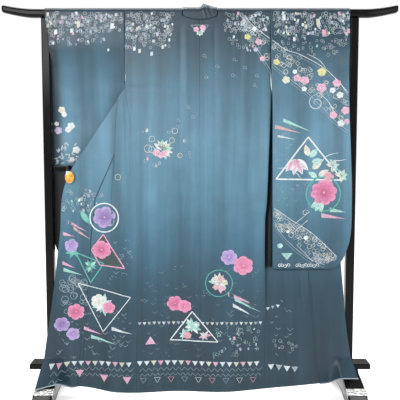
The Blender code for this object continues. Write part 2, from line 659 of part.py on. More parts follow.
def collar(look, rows=4):
    """One band: up the left front edge, over the rail beside the neck, round the back neck and down the right."""
    centre = ((0.0, neck_turn(0.0)), (0.0, NECK_CURVE[-1][2]))
    points, columns = [], []
    for seam, free in collar_half(LEFT) + [centre] + collar_half(RIGHT)[::-1]:
        column = []
        for r in range(rows + 1):
            t = r / rows
            place = tuple(blend(a, b, t) for a, b in zip(seam, free))
            if len(place) == 2:
                x, y, z = over_rail(*place)
                off = (seam[0] - COLLAR_PEAK_X) / COLLAR_PEAK_WIDTH
                if seam[1] < math.pi / 2:
                    z += COLLAR_PEAK * math.exp(-off * off) * t ** 1.5
                place = (x, y, z)
            column.append(len(points))
            points.append(place)
        columns.append(column)
    return cloth("collar", points, strip_faces(columns, True), look, COLLAR_CLOTH)


for old in list(bpy.data.objects):
    bpy.data.objects.remove(old, do_unlink=True)
stand()
silk = (0.125, 0.215, 0.265)
for label, side in (("left", LEFT), ("right", RIGHT)):
    body_panel("body_" + label, side, material("silk_body_" + label, silk, 0.45))
    overlap_panel("overlap_" + label, side, material("silk_overlap_" + label, silk, 0.45))
    sleeve("sleeve_" + label, side, material("silk_sleeve_" + label, silk, 0.45))
    hem_roll("hem_roll_" + label, side, material("lining_" + label, (0.72, 0.72, 0.66), 0.5))
collar(material("silk_collar", silk, 0.45))
rail_clip(material("clip_brass", (0.80, 0.50, 0.12), 0.3, 1.0))
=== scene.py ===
"""Looks of a long-sleeved silk kimono hung, opened, on a lacquered kimono stand."""

import math

import bpy
import numpy as np
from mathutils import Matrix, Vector
from mathutils.bvhtree import BVHTree


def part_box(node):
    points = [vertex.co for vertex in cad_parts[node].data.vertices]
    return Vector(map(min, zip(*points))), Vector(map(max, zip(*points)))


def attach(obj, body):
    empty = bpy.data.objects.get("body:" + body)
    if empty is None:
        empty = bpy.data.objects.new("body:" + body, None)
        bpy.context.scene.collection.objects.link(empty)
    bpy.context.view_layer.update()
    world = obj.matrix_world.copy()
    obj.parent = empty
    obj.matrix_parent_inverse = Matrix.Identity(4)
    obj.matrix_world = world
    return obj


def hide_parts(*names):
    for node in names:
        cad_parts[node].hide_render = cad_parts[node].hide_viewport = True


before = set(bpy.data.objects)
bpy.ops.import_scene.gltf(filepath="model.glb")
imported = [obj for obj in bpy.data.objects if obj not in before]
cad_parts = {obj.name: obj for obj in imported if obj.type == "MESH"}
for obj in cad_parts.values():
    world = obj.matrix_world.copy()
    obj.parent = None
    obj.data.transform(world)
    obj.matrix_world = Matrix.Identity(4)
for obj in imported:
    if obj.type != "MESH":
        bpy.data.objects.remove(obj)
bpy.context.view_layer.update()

# ---- Sizes of the stand, read from the frame -----------------------------------------------------
rail_low, rail_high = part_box("top_rail")
post_low, post_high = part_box("post_right")
board_low, board_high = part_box("base_board")
foot_low, foot_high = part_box("foot_right")
RAIL_HALF = 0.5 * (rail_high.y - rail_low.y)
RAIL_Z = rail_low.z + RAIL_HALF
RAIL_TIP_HALF = 0.0155
RAIL_TIP_RISE = 0.020
POST_X = 0.5 * (post_low.x + post_high.x)
FOOT_HALF_LENGTH = 0.5 * (foot_high.y - foot_low.y)
FOOT_WIDTH = foot_high.x - foot_low.x

# ---- Sizes of the garment ------------------------------------------------------------------------
CLOTH = 0.0015
COLLAR_CLOTH = 0.003
WRAP = 0.0225
YOKE_Z = 1.672
NECK_HALF = 0.075
NECK_DROP = 0.017
OVERLAP_TOP = 0.43
WRIST_Z = 1.450
SLEEVE_BOTTOM = 0.585
SEAM = 0.0
FOOT_CLEAR = (0.560, 0.609)
DRAPE_Z = 0.20
HEM_ROLL = 0.0040
EDGE_ROUND = 0.0032
BACK_DEPTH = [(0.03, -0.056), (0.50, -0.052), (1.00, -0.045), (1.35, -0.035), (YOKE_Z, -WRAP)]
HEM = [(-0.70, 0.044), (-0.54, 0.066), (-0.36, 0.044), (0.0, 0.046), (0.285, 0.056), (0.52, 0.086),
       (0.70, 0.095)]
NECK_RING = [
    (3.40, 0.0750, 0.0340, 3.40), (3.10, 0.0728, 0.0300, 3.05), (2.60, 0.0728, 0.0280, 2.60),
    (2.10, 0.0728, 0.0270, 2.20), (1.60, 0.0728, 0.0265, 1.95), (1.10, 0.0728, 0.0260, 1.82),
    (0.60, 0.0728, 0.0250, 1.75), (0.10, 0.0726, 0.0240, 1.71), (-0.25, 0.0722, 0.0230, 1.68),
]
NECK_CURVE = [(0.0690, 0.0210, 1.66), (0.0590, 0.0180, 1.65), (0.0480, 0.0145, 1.64), (0.0340, 0.0105, 1.63),
              (0.0180, 0.0055, 1.62), (0.0060, 0.0020, 1.62)]
COLLAR_PEAK_X, COLLAR_PEAK, COLLAR_PEAK_WIDTH = 0.055, 0.017, 0.035
COLLAR_REACH = (0.043, 0.024)
LEFT = {
    "sign": -1,
    "side_seam": [(0.03, -0.277), (0.60, -0.270), (0.866, -0.271), (0.973, -0.284), (1.203, -0.298),
                  (1.363, -0.3175), (1.52, -0.320), (1.70, -0.3185)],
    "overlap_seam": [(0.03, -0.545), (0.222, -0.524), (0.439, -0.499), (0.741, -0.471), (0.892, -0.454),
                     (1.071, -0.3665), (1.207, -0.361), (1.310, -0.351), (1.40, -0.345)],
    "front_edge": [(0.03, -0.694), (0.182, -0.680), (0.45, -0.640), (0.74, -0.605), (0.908, -0.593),
                   (1.005, -0.562), (1.10, -0.510), (1.207, -0.500), (1.40, -0.490)],
    "fold_top": (-0.3185, 1.363),
    "fold_end": (-0.562, 1.003),
    "front_depth": [(0.03, -0.056), (0.50, -0.052), (1.00, -0.040), (1.363, -0.0365)],
    "fold_depth": -0.0275,
    "corner": (-0.140, -0.35),
    "tuck": 0.008,
    "tuck_x": [(0.70, -0.382), (0.90, -0.381), (1.08, -0.366), (1.21, -0.361), (1.31, -0.351)],
    "sleeve_inner": [(SLEEVE_BOTTOM, -0.327), (1.10, -0.324), (1.36, -0.3225), (1.467, -0.3200),
                     (1.70, -0.3190)],
    "sleeve_outer": [(SLEEVE_BOTTOM, -0.548), (0.592, -0.575), (0.612, -0.600), (0.643, -0.624),
                     (0.680, -0.641), (0.730, -0.648), (1.08, -0.648), (1.19, -0.6435), (1.50, -0.6455),
                     (1.56, -0.6460), (1.60, -0.6475), (1.65, -0.657), (1.70, -0.6615)],
    "sleeve_middle": [(SLEEVE_BOTTOM, 0.0275), (1.20, 0.0275), (1.30, 0.0195), (1.45, 0.008), (1.56, 0.0),
                      (1.70, 0.0)],
}
RIGHT = {
    "sign": 1, "side_seam": [(0.03, 0.286), (0.60, 0.276), (0.80, 0.2755), (0.853, 0.281), (0.973, 0.287),
                             (1.10, 0.2920), (1.346, 0.3007), (1.467, 0.2996), (1.70, 0.2976)],
    "overlap_seam": [(0.03, 0.528), (0.272, 0.5026), (0.578, 0.4773), (0.80, 0.462), (0.95, 0.435),
                     (1.10, 0.385), (1.22, 0.355), (1.30, 0.338), (1.40, 0.330)],
    "front_edge": [(0.03, 0.692), (0.134, 0.672), (0.314, 0.641), (0.492, 0.6244), (0.6155, 0.6135),
                   (0.80, 0.602), (0.92, 0.592), (1.005, 0.562), (1.10, 0.525), (1.22, 0.495),
                   (1.40, 0.475)],
    "fold_top": (0.3016, 1.346),
    "fold_end": (0.562, 1.003),
    "front_depth": [(0.03, -0.056), (0.28, -0.050), (0.50, -0.036), (0.62, -0.0255), (1.00, -0.0235),
                    (1.346, -0.0255)],
    "fold_depth": -0.0165,
    "corner": (-0.105, 0.0),
    "tuck": 0.0,
    "tuck_x": [(0.70, 0.382), (1.31, 0.351)],
    "sleeve_inner": [(SLEEVE_BOTTOM, 0.3139), (1.10, 0.3100), (1.31, 0.3073), (1.467, 0.3003),
                     (1.70, 0.2981)],
    "sleeve_outer": [(0.585, 0.563), (0.600, 0.592), (0.618, 0.610), (0.662, 0.631), (0.714, 0.646),
                     (0.887, 0.6525), (1.10, 0.644), (1.22, 0.637), (1.31, 0.6335), (1.48, 0.6325),
                     (1.60, 0.6345), (1.70, 0.6365)],
    "sleeve_middle": [(0.585, -0.045), (1.02, -0.044), (1.38, -0.043), (1.50, -0.026), (1.66, 0.0),
                      (1.70, 0.0)],
}


# ---- Curves --------------------------------------------------------------------------------------
def through(points, at):
    """A smooth curve through (position, value) pairs, read at an array and held level past its ends."""
    xs, vs = (np.array(column, float) for column in zip(*points))
    slope = np.diff(vs) / np.diff(xs)
    tangent = np.empty(len(xs))
    tangent[0], tangent[-1] = slope[0], slope[-1]
    tangent[1:-1] = np.where(slope[:-1] * slope[1:] > 0, 0.5 * (slope[:-1] + slope[1:]), 0.0)
    at = np.clip(np.asarray(at, float), xs[0], xs[-1])
    k = np.clip(np.searchsorted(xs, at, side="right") - 1, 0, len(xs) - 2)
    h = xs[k + 1] - xs[k]
    t = (at - xs[k]) / h
    return (vs[k] * (1 + 2 * t) * (1 - t) ** 2 + tangent[k] * h * t * (1 - t) ** 2
            + vs[k + 1] * t * t * (3 - 2 * t) + tangent[k + 1] * h * t * t * (t - 1))


def blend(a, b, t):
    return a + (b - a) * t


def ease(t):
    """0 to 1 with level ends."""
    t = np.clip(t, 0.0, 1.0)
    return t * t * (3 - 2 * t)


def over_rail(x, turn):
    """Points of the cloth bent over the rail; turn is 0 level with its axis in front and pi behind it."""
    x, turn = np.broadcast_arrays(np.asarray(x, float), np.asarray(turn, float))
    angle = np.clip(turn, 0.0, math.pi)
    straight = np.abs(turn - angle) * WRAP
    return np.stack([x, -WRAP * np.cos(angle), RAIL_Z + WRAP * np.sin(angle) - straight], -1)


def foot_top(y):
    return 0.022 + 0.108 * np.cos(math.pi / 2 * np.clip(np.abs(y) / FOOT_HALF_LENGTH, 0, 1)) ** 0.95


def foot_under(y):
    reach = 0.205
    return np.where(np.abs(y) < reach, 0.052 * np.cos(math.pi / 2 * np.minimum(1, np.abs(y) / reach)), 0.0)


# ---- Creases and folds, each a soft ridge or trough along a line ---------------------------------
def along_z(x, z, line, depth, width, low, high, fade=0.08):
    """A fold running down the cloth; line is (z, x) pairs, and a positive depth is a trough."""
    off = (x - through(line, z)) / width
    return depth * np.exp(-off * off) * ease((z - low) / fade) * ease((high - z) / fade)


def along_x(x, z, height, depth, width, low, high, fade=0.05):
    """A storage crease running across the cloth."""
    off = (z - height) / width
    return depth * np.exp(-off * off) * ease((x - low) / fade) * ease((high - x) / fade)


def hem_wave(x, z):
    return -0.010 * ease((0.95 - z) / 0.85) * np.cos(2 * math.pi * (x + 0.30) / 0.40)


def back_creases(x, z):
    """The back panels' soft folds."""
    y = along_z(x, z, [(0.3, -0.085), (1.68, -0.083)], 0.0011, 0.010, 1.10, 1.66)
    y += along_z(x, z, [(0.3, -0.050), (1.68, -0.060)], -0.0010, 0.012, 1.20, 1.66)
    y += along_z(x, z, [(0.3, 0.070), (1.68, 0.060)], 0.0012, 0.010, 0.95, 1.66)
    y += along_z(x, z, [(0.3, 0.150), (1.68, 0.175)], 0.0011, 0.012, 1.05, 1.66)
    y += along_z(x, z, [(0.05, -0.205), (0.9, -0.185)], 0.0055, 0.022, 0.02, 0.75, 0.25)
    y += along_z(x, z, [(0.05, 0.10), (0.9, 0.12)], 0.0050, 0.020, 0.02, 0.70, 0.25)
    y += along_z(x, z, [(0.05, 0.225), (0.9, 0.215)], -0.0060, 0.018, 0.02, 0.80, 0.25)
    y += along_z(x, z, [(0.05, -0.02), (0.9, -0.03)], -0.0040, 0.020, 0.02, 0.60, 0.25)
    for height, depth in ((1.366, 0.0008), (0.905, 0.0013), (0.868, -0.0010), (0.835, 0.0012),
                          (0.30, 0.0008)):
        y += along_x(x, z, height, depth, 0.005, -0.32, 0.31)
    return y


def front_creases(side, x, z):
    """The opened fronts' soft folds."""
    if side["sign"] < 0:
        y = along_z(x, z, [(0.70, -0.545), (0.96, -0.552)], 0.0080, 0.012, 0.66, 0.975, 0.06)
        y += along_z(x, z, [(0.03, -0.62), (0.70, -0.560)], 0.0045, 0.022, 0.02, 0.60, 0.15)
        y += along_z(x, z, [(0.03, -0.44), (0.80, -0.420)], 0.0050, 0.022, 0.02, 0.62, 0.2)
        y += along_z(x, z, [(0.03, -0.335), (0.80, -0.330)], -0.0045, 0.020, 0.02, 0.70, 0.2)
        y += along_z(x, z, [(0.90, -0.318), (1.30, -0.328)], -0.0030, 0.010, 0.72, 1.33)
    else:
        y = along_z(x, z, [(0.03, 0.455), (0.60, 0.440)], 0.0120, 0.014, 0.30, 0.70, 0.25)
        y += along_z(x, z, [(0.03, 0.395), (0.60, 0.385)], -0.0060, 0.020, 0.02, 0.70, 0.2)
        y += along_z(x, z, [(0.03, 0.335), (0.60, 0.320)], 0.0070, 0.016, 0.02, 0.70, 0.2)
        y += along_z(x, z, [(0.03, 0.600), (0.60, 0.560)], 0.0050, 0.022, 0.02, 0.60, 0.2)
    return y


def sleeve_creases(side, x, z):
    """The sleeves' soft folds: a crease across at half length and faint ones down."""
    if side["sign"] < 0:
        return along_z(x, z, [(0.6, -0.45), (1.6, -0.47)], 0.0040, 0.03, 0.60, 1.60, 0.2)
    y = along_x(x, z, 0.909, 0.0022, 0.006, 0.30, 0.66, 0.02)
    y += along_z(x, z, [(0.6, 0.602), (0.9, 0.605)], 0.0025, 0.007, 0.66, 0.90)
    y += along_z(x, z, [(0.6, 0.40), (1.6, 0.42)], 0.0028, 0.035, 0.62, 1.55, 0.2)
    y += along_z(x, z, [(0.6, 0.54), (1.6, 0.52)], -0.0022, 0.030, 0.62, 1.60, 0.2)
    return y


# ---- Where the cloth lies ------------------------------------------------------------------------
def hem_height(x):
    return through(HEM, x)


def back_depth(x, z):
    return through(BACK_DEPTH, z) + hem_wave(x, z) + back_creases(x, z) * ease((YOKE_Z - 0.005 - z) / 0.03)


def back_grid(side, across, down):
    """Points of a back panel for arrays of across (0 centre, 1 side seam) and down (0 yoke, 1 hem)."""
    hem = hem_height(across * through(side["side_seam"], 1.0))
    x_top = across * through(side["side_seam"], YOKE_Z)
    neck = np.clip(1 - (x_top / NECK_HALF) ** 2, 0, None)
    z = blend(YOKE_Z - NECK_DROP * neck, hem, down)
    x = blend(side["sign"] * SEAM / 2, through(side["side_seam"], z), across)
    return np.stack([x, back_depth(x, z), z], -1)


def front_depth(side, x, z):
    """Depth of an opened front's outer side. It meets the back panel's depth at the side seam."""
    out = np.abs(x) - np.abs(through(side["side_seam"], z))
    away = ease(out / 0.02)
    y = blend(through(BACK_DEPTH, z), through(side["front_depth"], z), away) + hem_wave(x, z)
    y = y + blend(back_creases(x, z), front_creases(side, x, z), ease(out / 0.03))
    behind_strip = ease((np.abs(x) - np.abs(through(side["tuck_x"],
                                                    z))) / 0.006 + 0.5) * ease((z - 0.66) / 0.12)
    return y + side["tuck"] * behind_strip


def over_foot(side, x, y, z, hem):
    """Moves points near a hem corner forward and up, so that the corner drapes over the foot under it."""
    above = ease((np.abs(x) - FOOT_CLEAR[0]) / (FOOT_CLEAR[1] - FOOT_CLEAR[0]))
    down = np.clip((DRAPE_Z - z) / (DRAPE_Z - hem), 0, None)
    reach, slope = side["corner"]
    hem_y = reach + slope * (np.abs(x) - FOOT_CLEAR[1])
    above = np.where(down > 0, above, 0.0)
    return np.stack([x + 0 * z, blend(y, blend(y, hem_y, down), above),
                     blend(z, blend(DRAPE_Z, foot_top(hem_y) + 0.012, down), above)], -1)


def fold_height(side, column_x):
    """The height at which a column of an opened front meets the diagonal fold."""
    (x0, z0), (x1, z1) = side["fold_top"], side["fold_end"]
    low, high = z1 - 0.02, z0 + 0.001
    for _ in range(30):
        z = 0.5 * (low + high)
        fold_x = blend(x0, x1, (z0 - z) / (z0 - z1))
        if abs(column_x(z)) > abs(fold_x):
            high = z
        else:
            low = z
    return 0.5 * (low + high)


def fold_start(side, column_x):
    z = fold_height(side, column_x)
    x = float(column_x(z))
    share = (side["fold_top"][1] - z) / (side["fold_top"][1] - side["fold_end"][1])
    y_front = float(front_depth(side, x, z))
    y_behind = blend(y_front, side["fold_depth"], float(ease(share / 0.08)))
    return np.array([x, y_behind, z]), 0.5 * (y_behind - y_front)


def behind(shoulder, turn, t):
    t = np.asarray(t, float)[..., None]
    depth = ease(t) ** 0.7
    return blend(shoulder, turn, np.concatenate([t, depth, t], -1))


def opened_column(side, column_x, behind_points, rows_fold, rows_front):
    """Points down one column of a front: behind the back, round the diagonal fold, and down to the hem."""
    (x0, z0), (x1, z1) = side["fold_top"], side["fold_end"]
    length = math.hypot(x1 - x0, z1 - z0)
    out = (side["sign"] * (z0 - z1) / length, abs(x1 - x0) / length)
    turn, radius = fold_start(side, column_x)
    angle = math.pi * np.arange(rows_fold + 1) / rows_fold
    fold = np.stack([turn[0] + out[0] * radius * np.sin(angle), turn[1] - radius * (1 - np.cos(angle)),
                     turn[2] + out[1] * radius * np.sin(angle)], -1)
    hem = float(hem_height(column_x(0.05)))
    z = blend(turn[2], hem, np.arange(1, rows_front + 1) / rows_front)
    x = column_x(z)
    front = over_foot(side, x, front_depth(side, x, z), z, hem)
    return np.concatenate([behind_points, fold, front])


def seam_behind(side, t):
    turn = fold_start(side, lambda z: through(side["overlap_seam"], z))[0]
    return behind(over_rail(np.array(side["sign"] * NECK_HALF), np.array(math.pi)), turn, t)


def overlap_x(side, w):
    return lambda z: blend(through(side["overlap_seam"], z), through(side["front_edge"], z), w)


def overlap_behind(side, w, t):
    t = np.asarray(t, float)
    base = seam_behind(side, blend(OVERLAP_TOP, 1.0, t))
    seam_turn = seam_behind(side, 1.0)
    turn = fold_start(side, overlap_x(side, w))[0]
    spread = blend(0.08, 1.0, t)
    droop = 0.040 * w * np.sin(math.pi * np.minimum(1.0, 0.12 + 0.88 * t))
    moved = (turn - seam_turn) * np.stack([spread, t, spread], -1)
    moved[..., 2] -= droop
    return base + moved


# ---- Meshes --------------------------------------------------------------------------------------
class Sheet:
    """Points and quads of a panel, gathered from grids."""

    def __init__(self):
        self.points, self.faces, self.count = [], [], 0

    def add(self, grid):
        """Adds an array of points and returns their numbers in the same shape."""
        flat = np.asarray(grid, float).reshape(-1, 3)
        numbers = np.arange(self.count, self.count + len(flat)).reshape(np.asarray(grid).shape[:-1])
        self.points.append(flat)
        self.count += len(flat)
        return numbers

    def quads(self, numbers, flip):
        quad = np.stack([numbers[:-1, :-1], numbers[1:, :-1], numbers[1:, 1:], numbers[:-1, 1:]],
                        -1).reshape(-1, 4)
        self.faces.append(quad[:, ::-1] if flip else quad)


def new_object(name, points, faces, looks, smooth=True):
    mesh = bpy.data.meshes.new(name)
    mesh.from_pydata(np.asarray(points).tolist(), [], [tuple(f) for f in faces])
    for look in looks:
        mesh.materials.append(look)
    if smooth:
        mesh.shade_smooth()
    made = bpy.data.objects.new(name, mesh)
    bpy.context.scene.collection.objects.link(made)
    return made


def cloth(name, sheet, looks, thick=CLOTH):
    """A wall of cloth behind the given outer side: silk outside, lining inside."""
    faces = [tuple(f) for block in sheet.faces for f in block.tolist()]
    made = new_object(name, np.concatenate(sheet.points), faces, looks)
    wall = made.modifiers.new("Wall", "SOLIDIFY")
    wall.thickness = thick
    wall.offset = -1.0
    wall.material_offset = len(looks) - 1
    wall.material_offset_rim = 0
    return made


def body_panel(name, side, looks, back_cols=24, front_cols=72, rows_back=230, rows_rail=14, rows_behind=60,
               rows_fold=8, rows_front=190):
    """Back, shoulder and front in one cut."""
    sheet = Sheet()
    neck_share = NECK_HALF / abs(float(through(side["side_seam"], YOKE_Z)))
    shares = np.concatenate([np.linspace(0, neck_share, back_cols + 1)[:-1], np.linspace(neck_share, 1,
                                                                                         front_cols + 1)])
    down = np.linspace(0, 1, rows_back + 1) ** 1.05
    back = sheet.add(back_grid(side, shares[:, None], down[None, :]))
    points = sheet.points[0].reshape(len(shares), rows_back + 1, 3)
    columns = []
    for i in range(back_cols, len(shares)):
        share = shares[i]
        rail = over_rail(points[i, 0, 0], math.pi * np.arange(rows_rail + 1) / rows_rail)
        u = (1.0 - share) / (1.0 - neck_share)

        def column_x(z, u=u):
            seam = through(side["side_seam"], z) + side["sign"] * SEAM
            return blend(seam, through(side["overlap_seam"], z), u)

        turn = fold_start(side, column_x)[0]
        hidden = behind(rail[-1], turn, np.arange(1, rows_behind) / rows_behind)
        columns.append(np.concatenate([rail, opened_column(side, column_x, hidden, rows_fold, rows_front)]))
    front = sheet.add(np.array(columns))
    front = np.concatenate([back[back_cols:, :1], front], 1)
    flip = side["sign"] < 0
    sheet.quads(back[:, ::-1], flip)
    sheet.quads(front, flip)
    return cloth(name, sheet, looks)


def overlap_panel(name, side, looks, columns=36, rows_behind=60, rows_fold=8, rows_front=220):
    sheet = Sheet()
    sign = side["sign"]
    grid = []
    for i in range(columns + 1):
        w = i / columns
        hidden = overlap_behind(side, w, np.arange(rows_behind) / rows_behind)
        column = opened_column(side, overlap_x(side, w), hidden, rows_fold, rows_front)
        column[:rows_behind, 2] -= 1.3 * SEAM
        column[rows_behind:rows_behind + rows_fold + 1] += (0.6 * sign * SEAM, 0, -1.1 * SEAM)
        column[rows_behind + rows_fold + 1:, 0] += sign * SEAM
        grid.append(column)
    sheet.quads(sheet.add(np.array(grid)), sign > 0)
    return cloth(name, sheet, looks)


def sleeve_x(side, u, z):
    return blend(through(side["sleeve_inner"], z), through(side["sleeve_outer"], z), u)


def wrist_open(z):
    """0 along the sewn outer edge, rising to 1 where the wrist opening hangs fully open."""
    return ease((z - WRIST_Z) / 0.078)


def sleeve_half(u, z):
    open_half = blend(0.0062, WRAP, ease((z - 1.30) / 0.28))
    shut = blend(ease((1 - u) / 0.30), 1.0, wrist_open(z))
    low = ease((z - SLEEVE_BOTTOM) / 0.08)
    return blend(EDGE_ROUND, open_half, shut * low)


def sleeve_depth(side, x, z, layer=-1):
    """Depth of a sleeve's near (-1) or far (1) outer side."""
    inner, outer = through(side["sleeve_inner"], z), through(side["sleeve_outer"], z)
    u = (x - inner) / (outer - inner)
    half = sleeve_half(u, z)
    creases = sleeve_creases(side, x, z) * ease((YOKE_Z - z) / 0.05) * ease((1 - u) / 0.1)
    return through(side["sleeve_middle"], z) + layer * half + creases


def sleeve(name, side, looks, columns=64, rows=190, rows_rail=14):
    """One cut folded over the rail, closed along its bottom and its outer edge below the wrist opening."""
    sheet = Sheet()
    inset = EDGE_ROUND * 0.9
    heights = blend(SLEEVE_BOTTOM, YOKE_Z, np.linspace(0, 1, rows + 1) ** 1.15)
    wrist = int(np.argmin(np.abs(heights - WRIST_Z)))
    heights[wrist] = WRIST_Z
    shares = np.linspace(0, 1, columns + 1)
    u, z = np.meshgrid(shares, heights, indexing="ij")
    x = sleeve_x(side, u, z)
    layers = {}
    lift = np.where(np.arange(rows + 1)[None, :] == 0, inset, 0.0)
    x_in = x - np.where(u == 1.0, side["sign"] * inset * (1 - wrist_open(z)), 0.0)
    for layer in (-1, 1):
        y = sleeve_depth(side, x, z, layer)
        layers[layer] = sheet.add(np.stack([x_in, y, z + lift], -1))
    bottom_x = sleeve_x(side, shares, SLEEVE_BOTTOM) - np.where(shares == 1.0, side["sign"] * inset, 0.0)
    bottom_y = float(through(side["sleeve_middle"], SLEEVE_BOTTOM))
    bottom = sheet.add(np.stack([bottom_x, bottom_y + 0 * bottom_x, SLEEVE_BOTTOM + 0 * bottom_x], -1))
    rail_x = sleeve_x(side, shares, RAIL_Z)
    rail = sheet.add(over_rail(rail_x[:, None], math.pi * np.arange(rows_rail + 1)[None, :] / rows_rail))
    ring = np.concatenate([bottom[:, None], layers[-1], rail, layers[1][:, ::-1], bottom[:, None]], 1)
    flip = side["sign"] < 0
    sheet.quads(ring, flip)
    edge_z = heights[:wrist + 1]
    edge = sheet.add(np.stack([through(side["sleeve_outer"], edge_z),
                               through(side["sleeve_middle"], edge_z),
                               edge_z + lift[0, :wrist + 1]], -1))
    near, far = layers[-1][-1, :wrist + 1], layers[1][-1, :wrist + 1]
    sheet.quads(np.stack([near, edge]), flip)
    sheet.quads(np.stack([edge, far]), flip)
    corner = bottom[-1]
    for tri in ((corner, edge[0], near[0]), (corner, far[0], edge[0])):
        sheet.faces.append(np.array([tri[::-1] if flip else tri]))
    return cloth(name, sheet, looks)


def neck_turn(x):
    """Where the collar's seam lies in front of the rail: its edge covers the back neck's edge."""
    return (YOKE_Z - NECK_DROP * (1 - (x / NECK_HALF) ** 2) - 0.003 - RAIL_Z) / WRAP


def collar(looks, rows=18, between=8):
    """One band up the left front edge, over the rail, round the back neck and down the right edge."""
    t = np.linspace(0, 1, rows + 1)[None, :]

    def round_neck(sign, seam_turn, seam_x, free_x, free_turn):
        points = over_rail(sign * blend(seam_x, free_x, t), blend(seam_turn, free_turn, t))
        near = ease((1.6 - seam_turn) / 0.6)
        hump = np.exp(-((sign * seam_x - COLLAR_PEAK_X) / COLLAR_PEAK_WIDTH) ** 2) * near
        points[..., 2] += COLLAR_PEAK * hump * t ** 1.5
        crumple = 0.5 + 0.5 * np.sin(2 * math.pi * (sign * seam_x / 0.021 + 0.35 * t))
        points[..., 1] -= 0.0040 * hump * crumple * np.sin(math.pi * t) + 0.0016 * near * (1 - t) ** 2
        points[..., 2] -= 0.0035 * hump * crumple * t ** 3
        return points

    def half(side):
        sign = side["sign"]
        edge = overlap_behind(side, 1.0, np.linspace(1, 0, 43))
        upper = seam_behind(side, np.linspace(0.36, 0.05, 30))
        path = np.concatenate([edge, upper])
        outer = path + np.array([-sign * 0.0020, 0, -0.0012])
        inner = path + np.array([-sign * COLLAR_REACH[0], 0, -COLLAR_REACH[1]])
        ring = NECK_RING + [(neck_turn(x), x, free_x, free_turn) for x, free_x, free_turn in NECK_CURVE]
        steps = np.linspace(0, len(ring) - 1, (len(ring) - 1) * between + 1)
        bent = round_neck(sign, *(np.interp(steps, np.arange(len(ring)), [row[k] for row in ring])[:, None]
                                  for k in (0, 1, 2, 3)))
        return np.concatenate([blend(outer[:, None], inner[:, None], t[..., None]), bent])

    sheet = Sheet()
    sheet.quads(sheet.add(np.concatenate([half(LEFT), half(RIGHT)[::-1]])), True)
    return cloth("collar_band", sheet, looks, COLLAR_CLOTH)


def hem_roll(name, side, looks, columns=40, rows=6):
    """The lining rolled out below the hem of an overlap."""
    grid = []
    for i in range(columns + 1):
        column = opened_column(side, overlap_x(side, i / columns), np.zeros((1, 3)), 8, 60)
        above, end = column[-2], column[-1]
        down = (end - above) / np.linalg.norm(end - above)
        reach = SEAM + HEM_ROLL * np.linspace(0, 1, rows + 1)[:, None]
        grid.append(end + np.array([side["sign"] * SEAM, 0, 0]) + down * reach)
    sheet = Sheet()
    sheet.quads(sheet.add(np.array(grid)), side["sign"] > 0)
    return cloth(name, sheet, looks, 0.0025)


# ---- Materials -----------------------------------------------------------------------------------
TONE_HEIGHT = 1.75  # height over which the colour stops are spread
# The silk's colour from the hem up, darker towards the shoulders and the hem: share of that height, and
# colour.
HEIGHT_TONES = [(0.02, (24, 50, 62)), (0.16, (20, 48, 62)), (0.28, (26, 58, 74)), (0.40, (50, 86, 105)),
       (0.53, (72, 110, 128)), (0.66, (78, 114, 133)), (0.78, (62, 96, 114)), (0.88, (38, 66, 80)),
       (0.96, (24, 46, 58))]
# Near-black of the painted deep shade that the shade_of masks mix into the silk.
SHADE = (5, 9, 16)


def srgb(r, g, b):
    """A display colour, 0 to 255, as linear light."""
    shares = [c / 255 for c in (r, g, b)]
    return tuple(c / 12.92 if c <= 0.04045 else ((c + 0.055) / 1.055) ** 2.4 for c in shares) + (1.0,)


class Nodes:
    """Short calls for building a node material."""

    def __init__(self, name):
        self.material = bpy.data.materials.new(name)
        self.material.use_nodes = True
        self.tree = self.material.node_tree
        self.shader = self.tree.nodes["Principled BSDF"]

    def add(self, kind, inputs=None, **settings):
        node = self.tree.nodes.new(kind)
        for key, value in settings.items():
            setattr(node, key, value)
        for key, value in (inputs or {}).items():
            self.feed(node.inputs[key], value)
        return node

    def feed(self, socket, value):
        if isinstance(value, bpy.types.NodeSocket):
            self.tree.links.new(value, socket)
        else:
            socket.default_value = value

    def set(self, **values):
        for key, value in values.items():
            self.feed(self.shader.inputs[key.replace("_", " ")], value)

    def ramp(self, factor, stops, kind="LINEAR"):
        node = self.add("ShaderNodeValToRGB", {"Fac": factor})
        node.color_ramp.interpolation = kind
        while len(node.color_ramp.elements) < len(stops):
            node.color_ramp.elements.new(0.5)
        for element, (at, colour) in zip(node.color_ramp.elements, stops):
            element.position = at
            element.color = colour
        return node.outputs["Color"]

    def math(self, operation, a, b=0.0):
        return self.add("ShaderNodeMath", {0: a, 1: b}, operation=operation).outputs[0]


def place(nodes):
    """Separate x, y and z of the object's own coordinates."""
    coordinates = nodes.add("ShaderNodeTexCoord").outputs["Object"]
    return coordinates, nodes.add("ShaderNodeSeparateXYZ", {0: coordinates})


def smooth_step(nodes, value, low, high):
    """0 below low and 1 above high, or the other way round when low is the larger."""
    share = nodes.add("ShaderNodeMapRange", {"Value": value, "From Min": low, "From Max": high},
                      interpolation_type="SMOOTHSTEP")
    return share.outputs["Result"]


def gap_shade(n, xyz):
    """The deep shade on the right front beside the back panel, where the sleeve hangs close to it."""
    x, y, z = (xyz.outputs[axis] for axis in "XYZ")
    seam = n.ramp(n.math("DIVIDE", z, TONE_HEIGHT),
                  [(h / TONE_HEIGHT, (sx, sx, sx, 1)) for h, sx in RIGHT["side_seam"][1:7]])
    past_seam = smooth_step(n, n.math("SUBTRACT", x, seam), 0.0005, 0.0040)
    shade = n.math("MULTIPLY", past_seam, smooth_step(n, x, 0.345, 0.318))
    shade = n.math("MULTIPLY", shade, smooth_step(n, z, 0.580, 0.600))
    shade = n.math("MULTIPLY", shade, smooth_step(n, z, 1.350, 1.335))
    return n.math("MULTIPLY", shade, smooth_step(n, y, -0.0445, -0.0425))


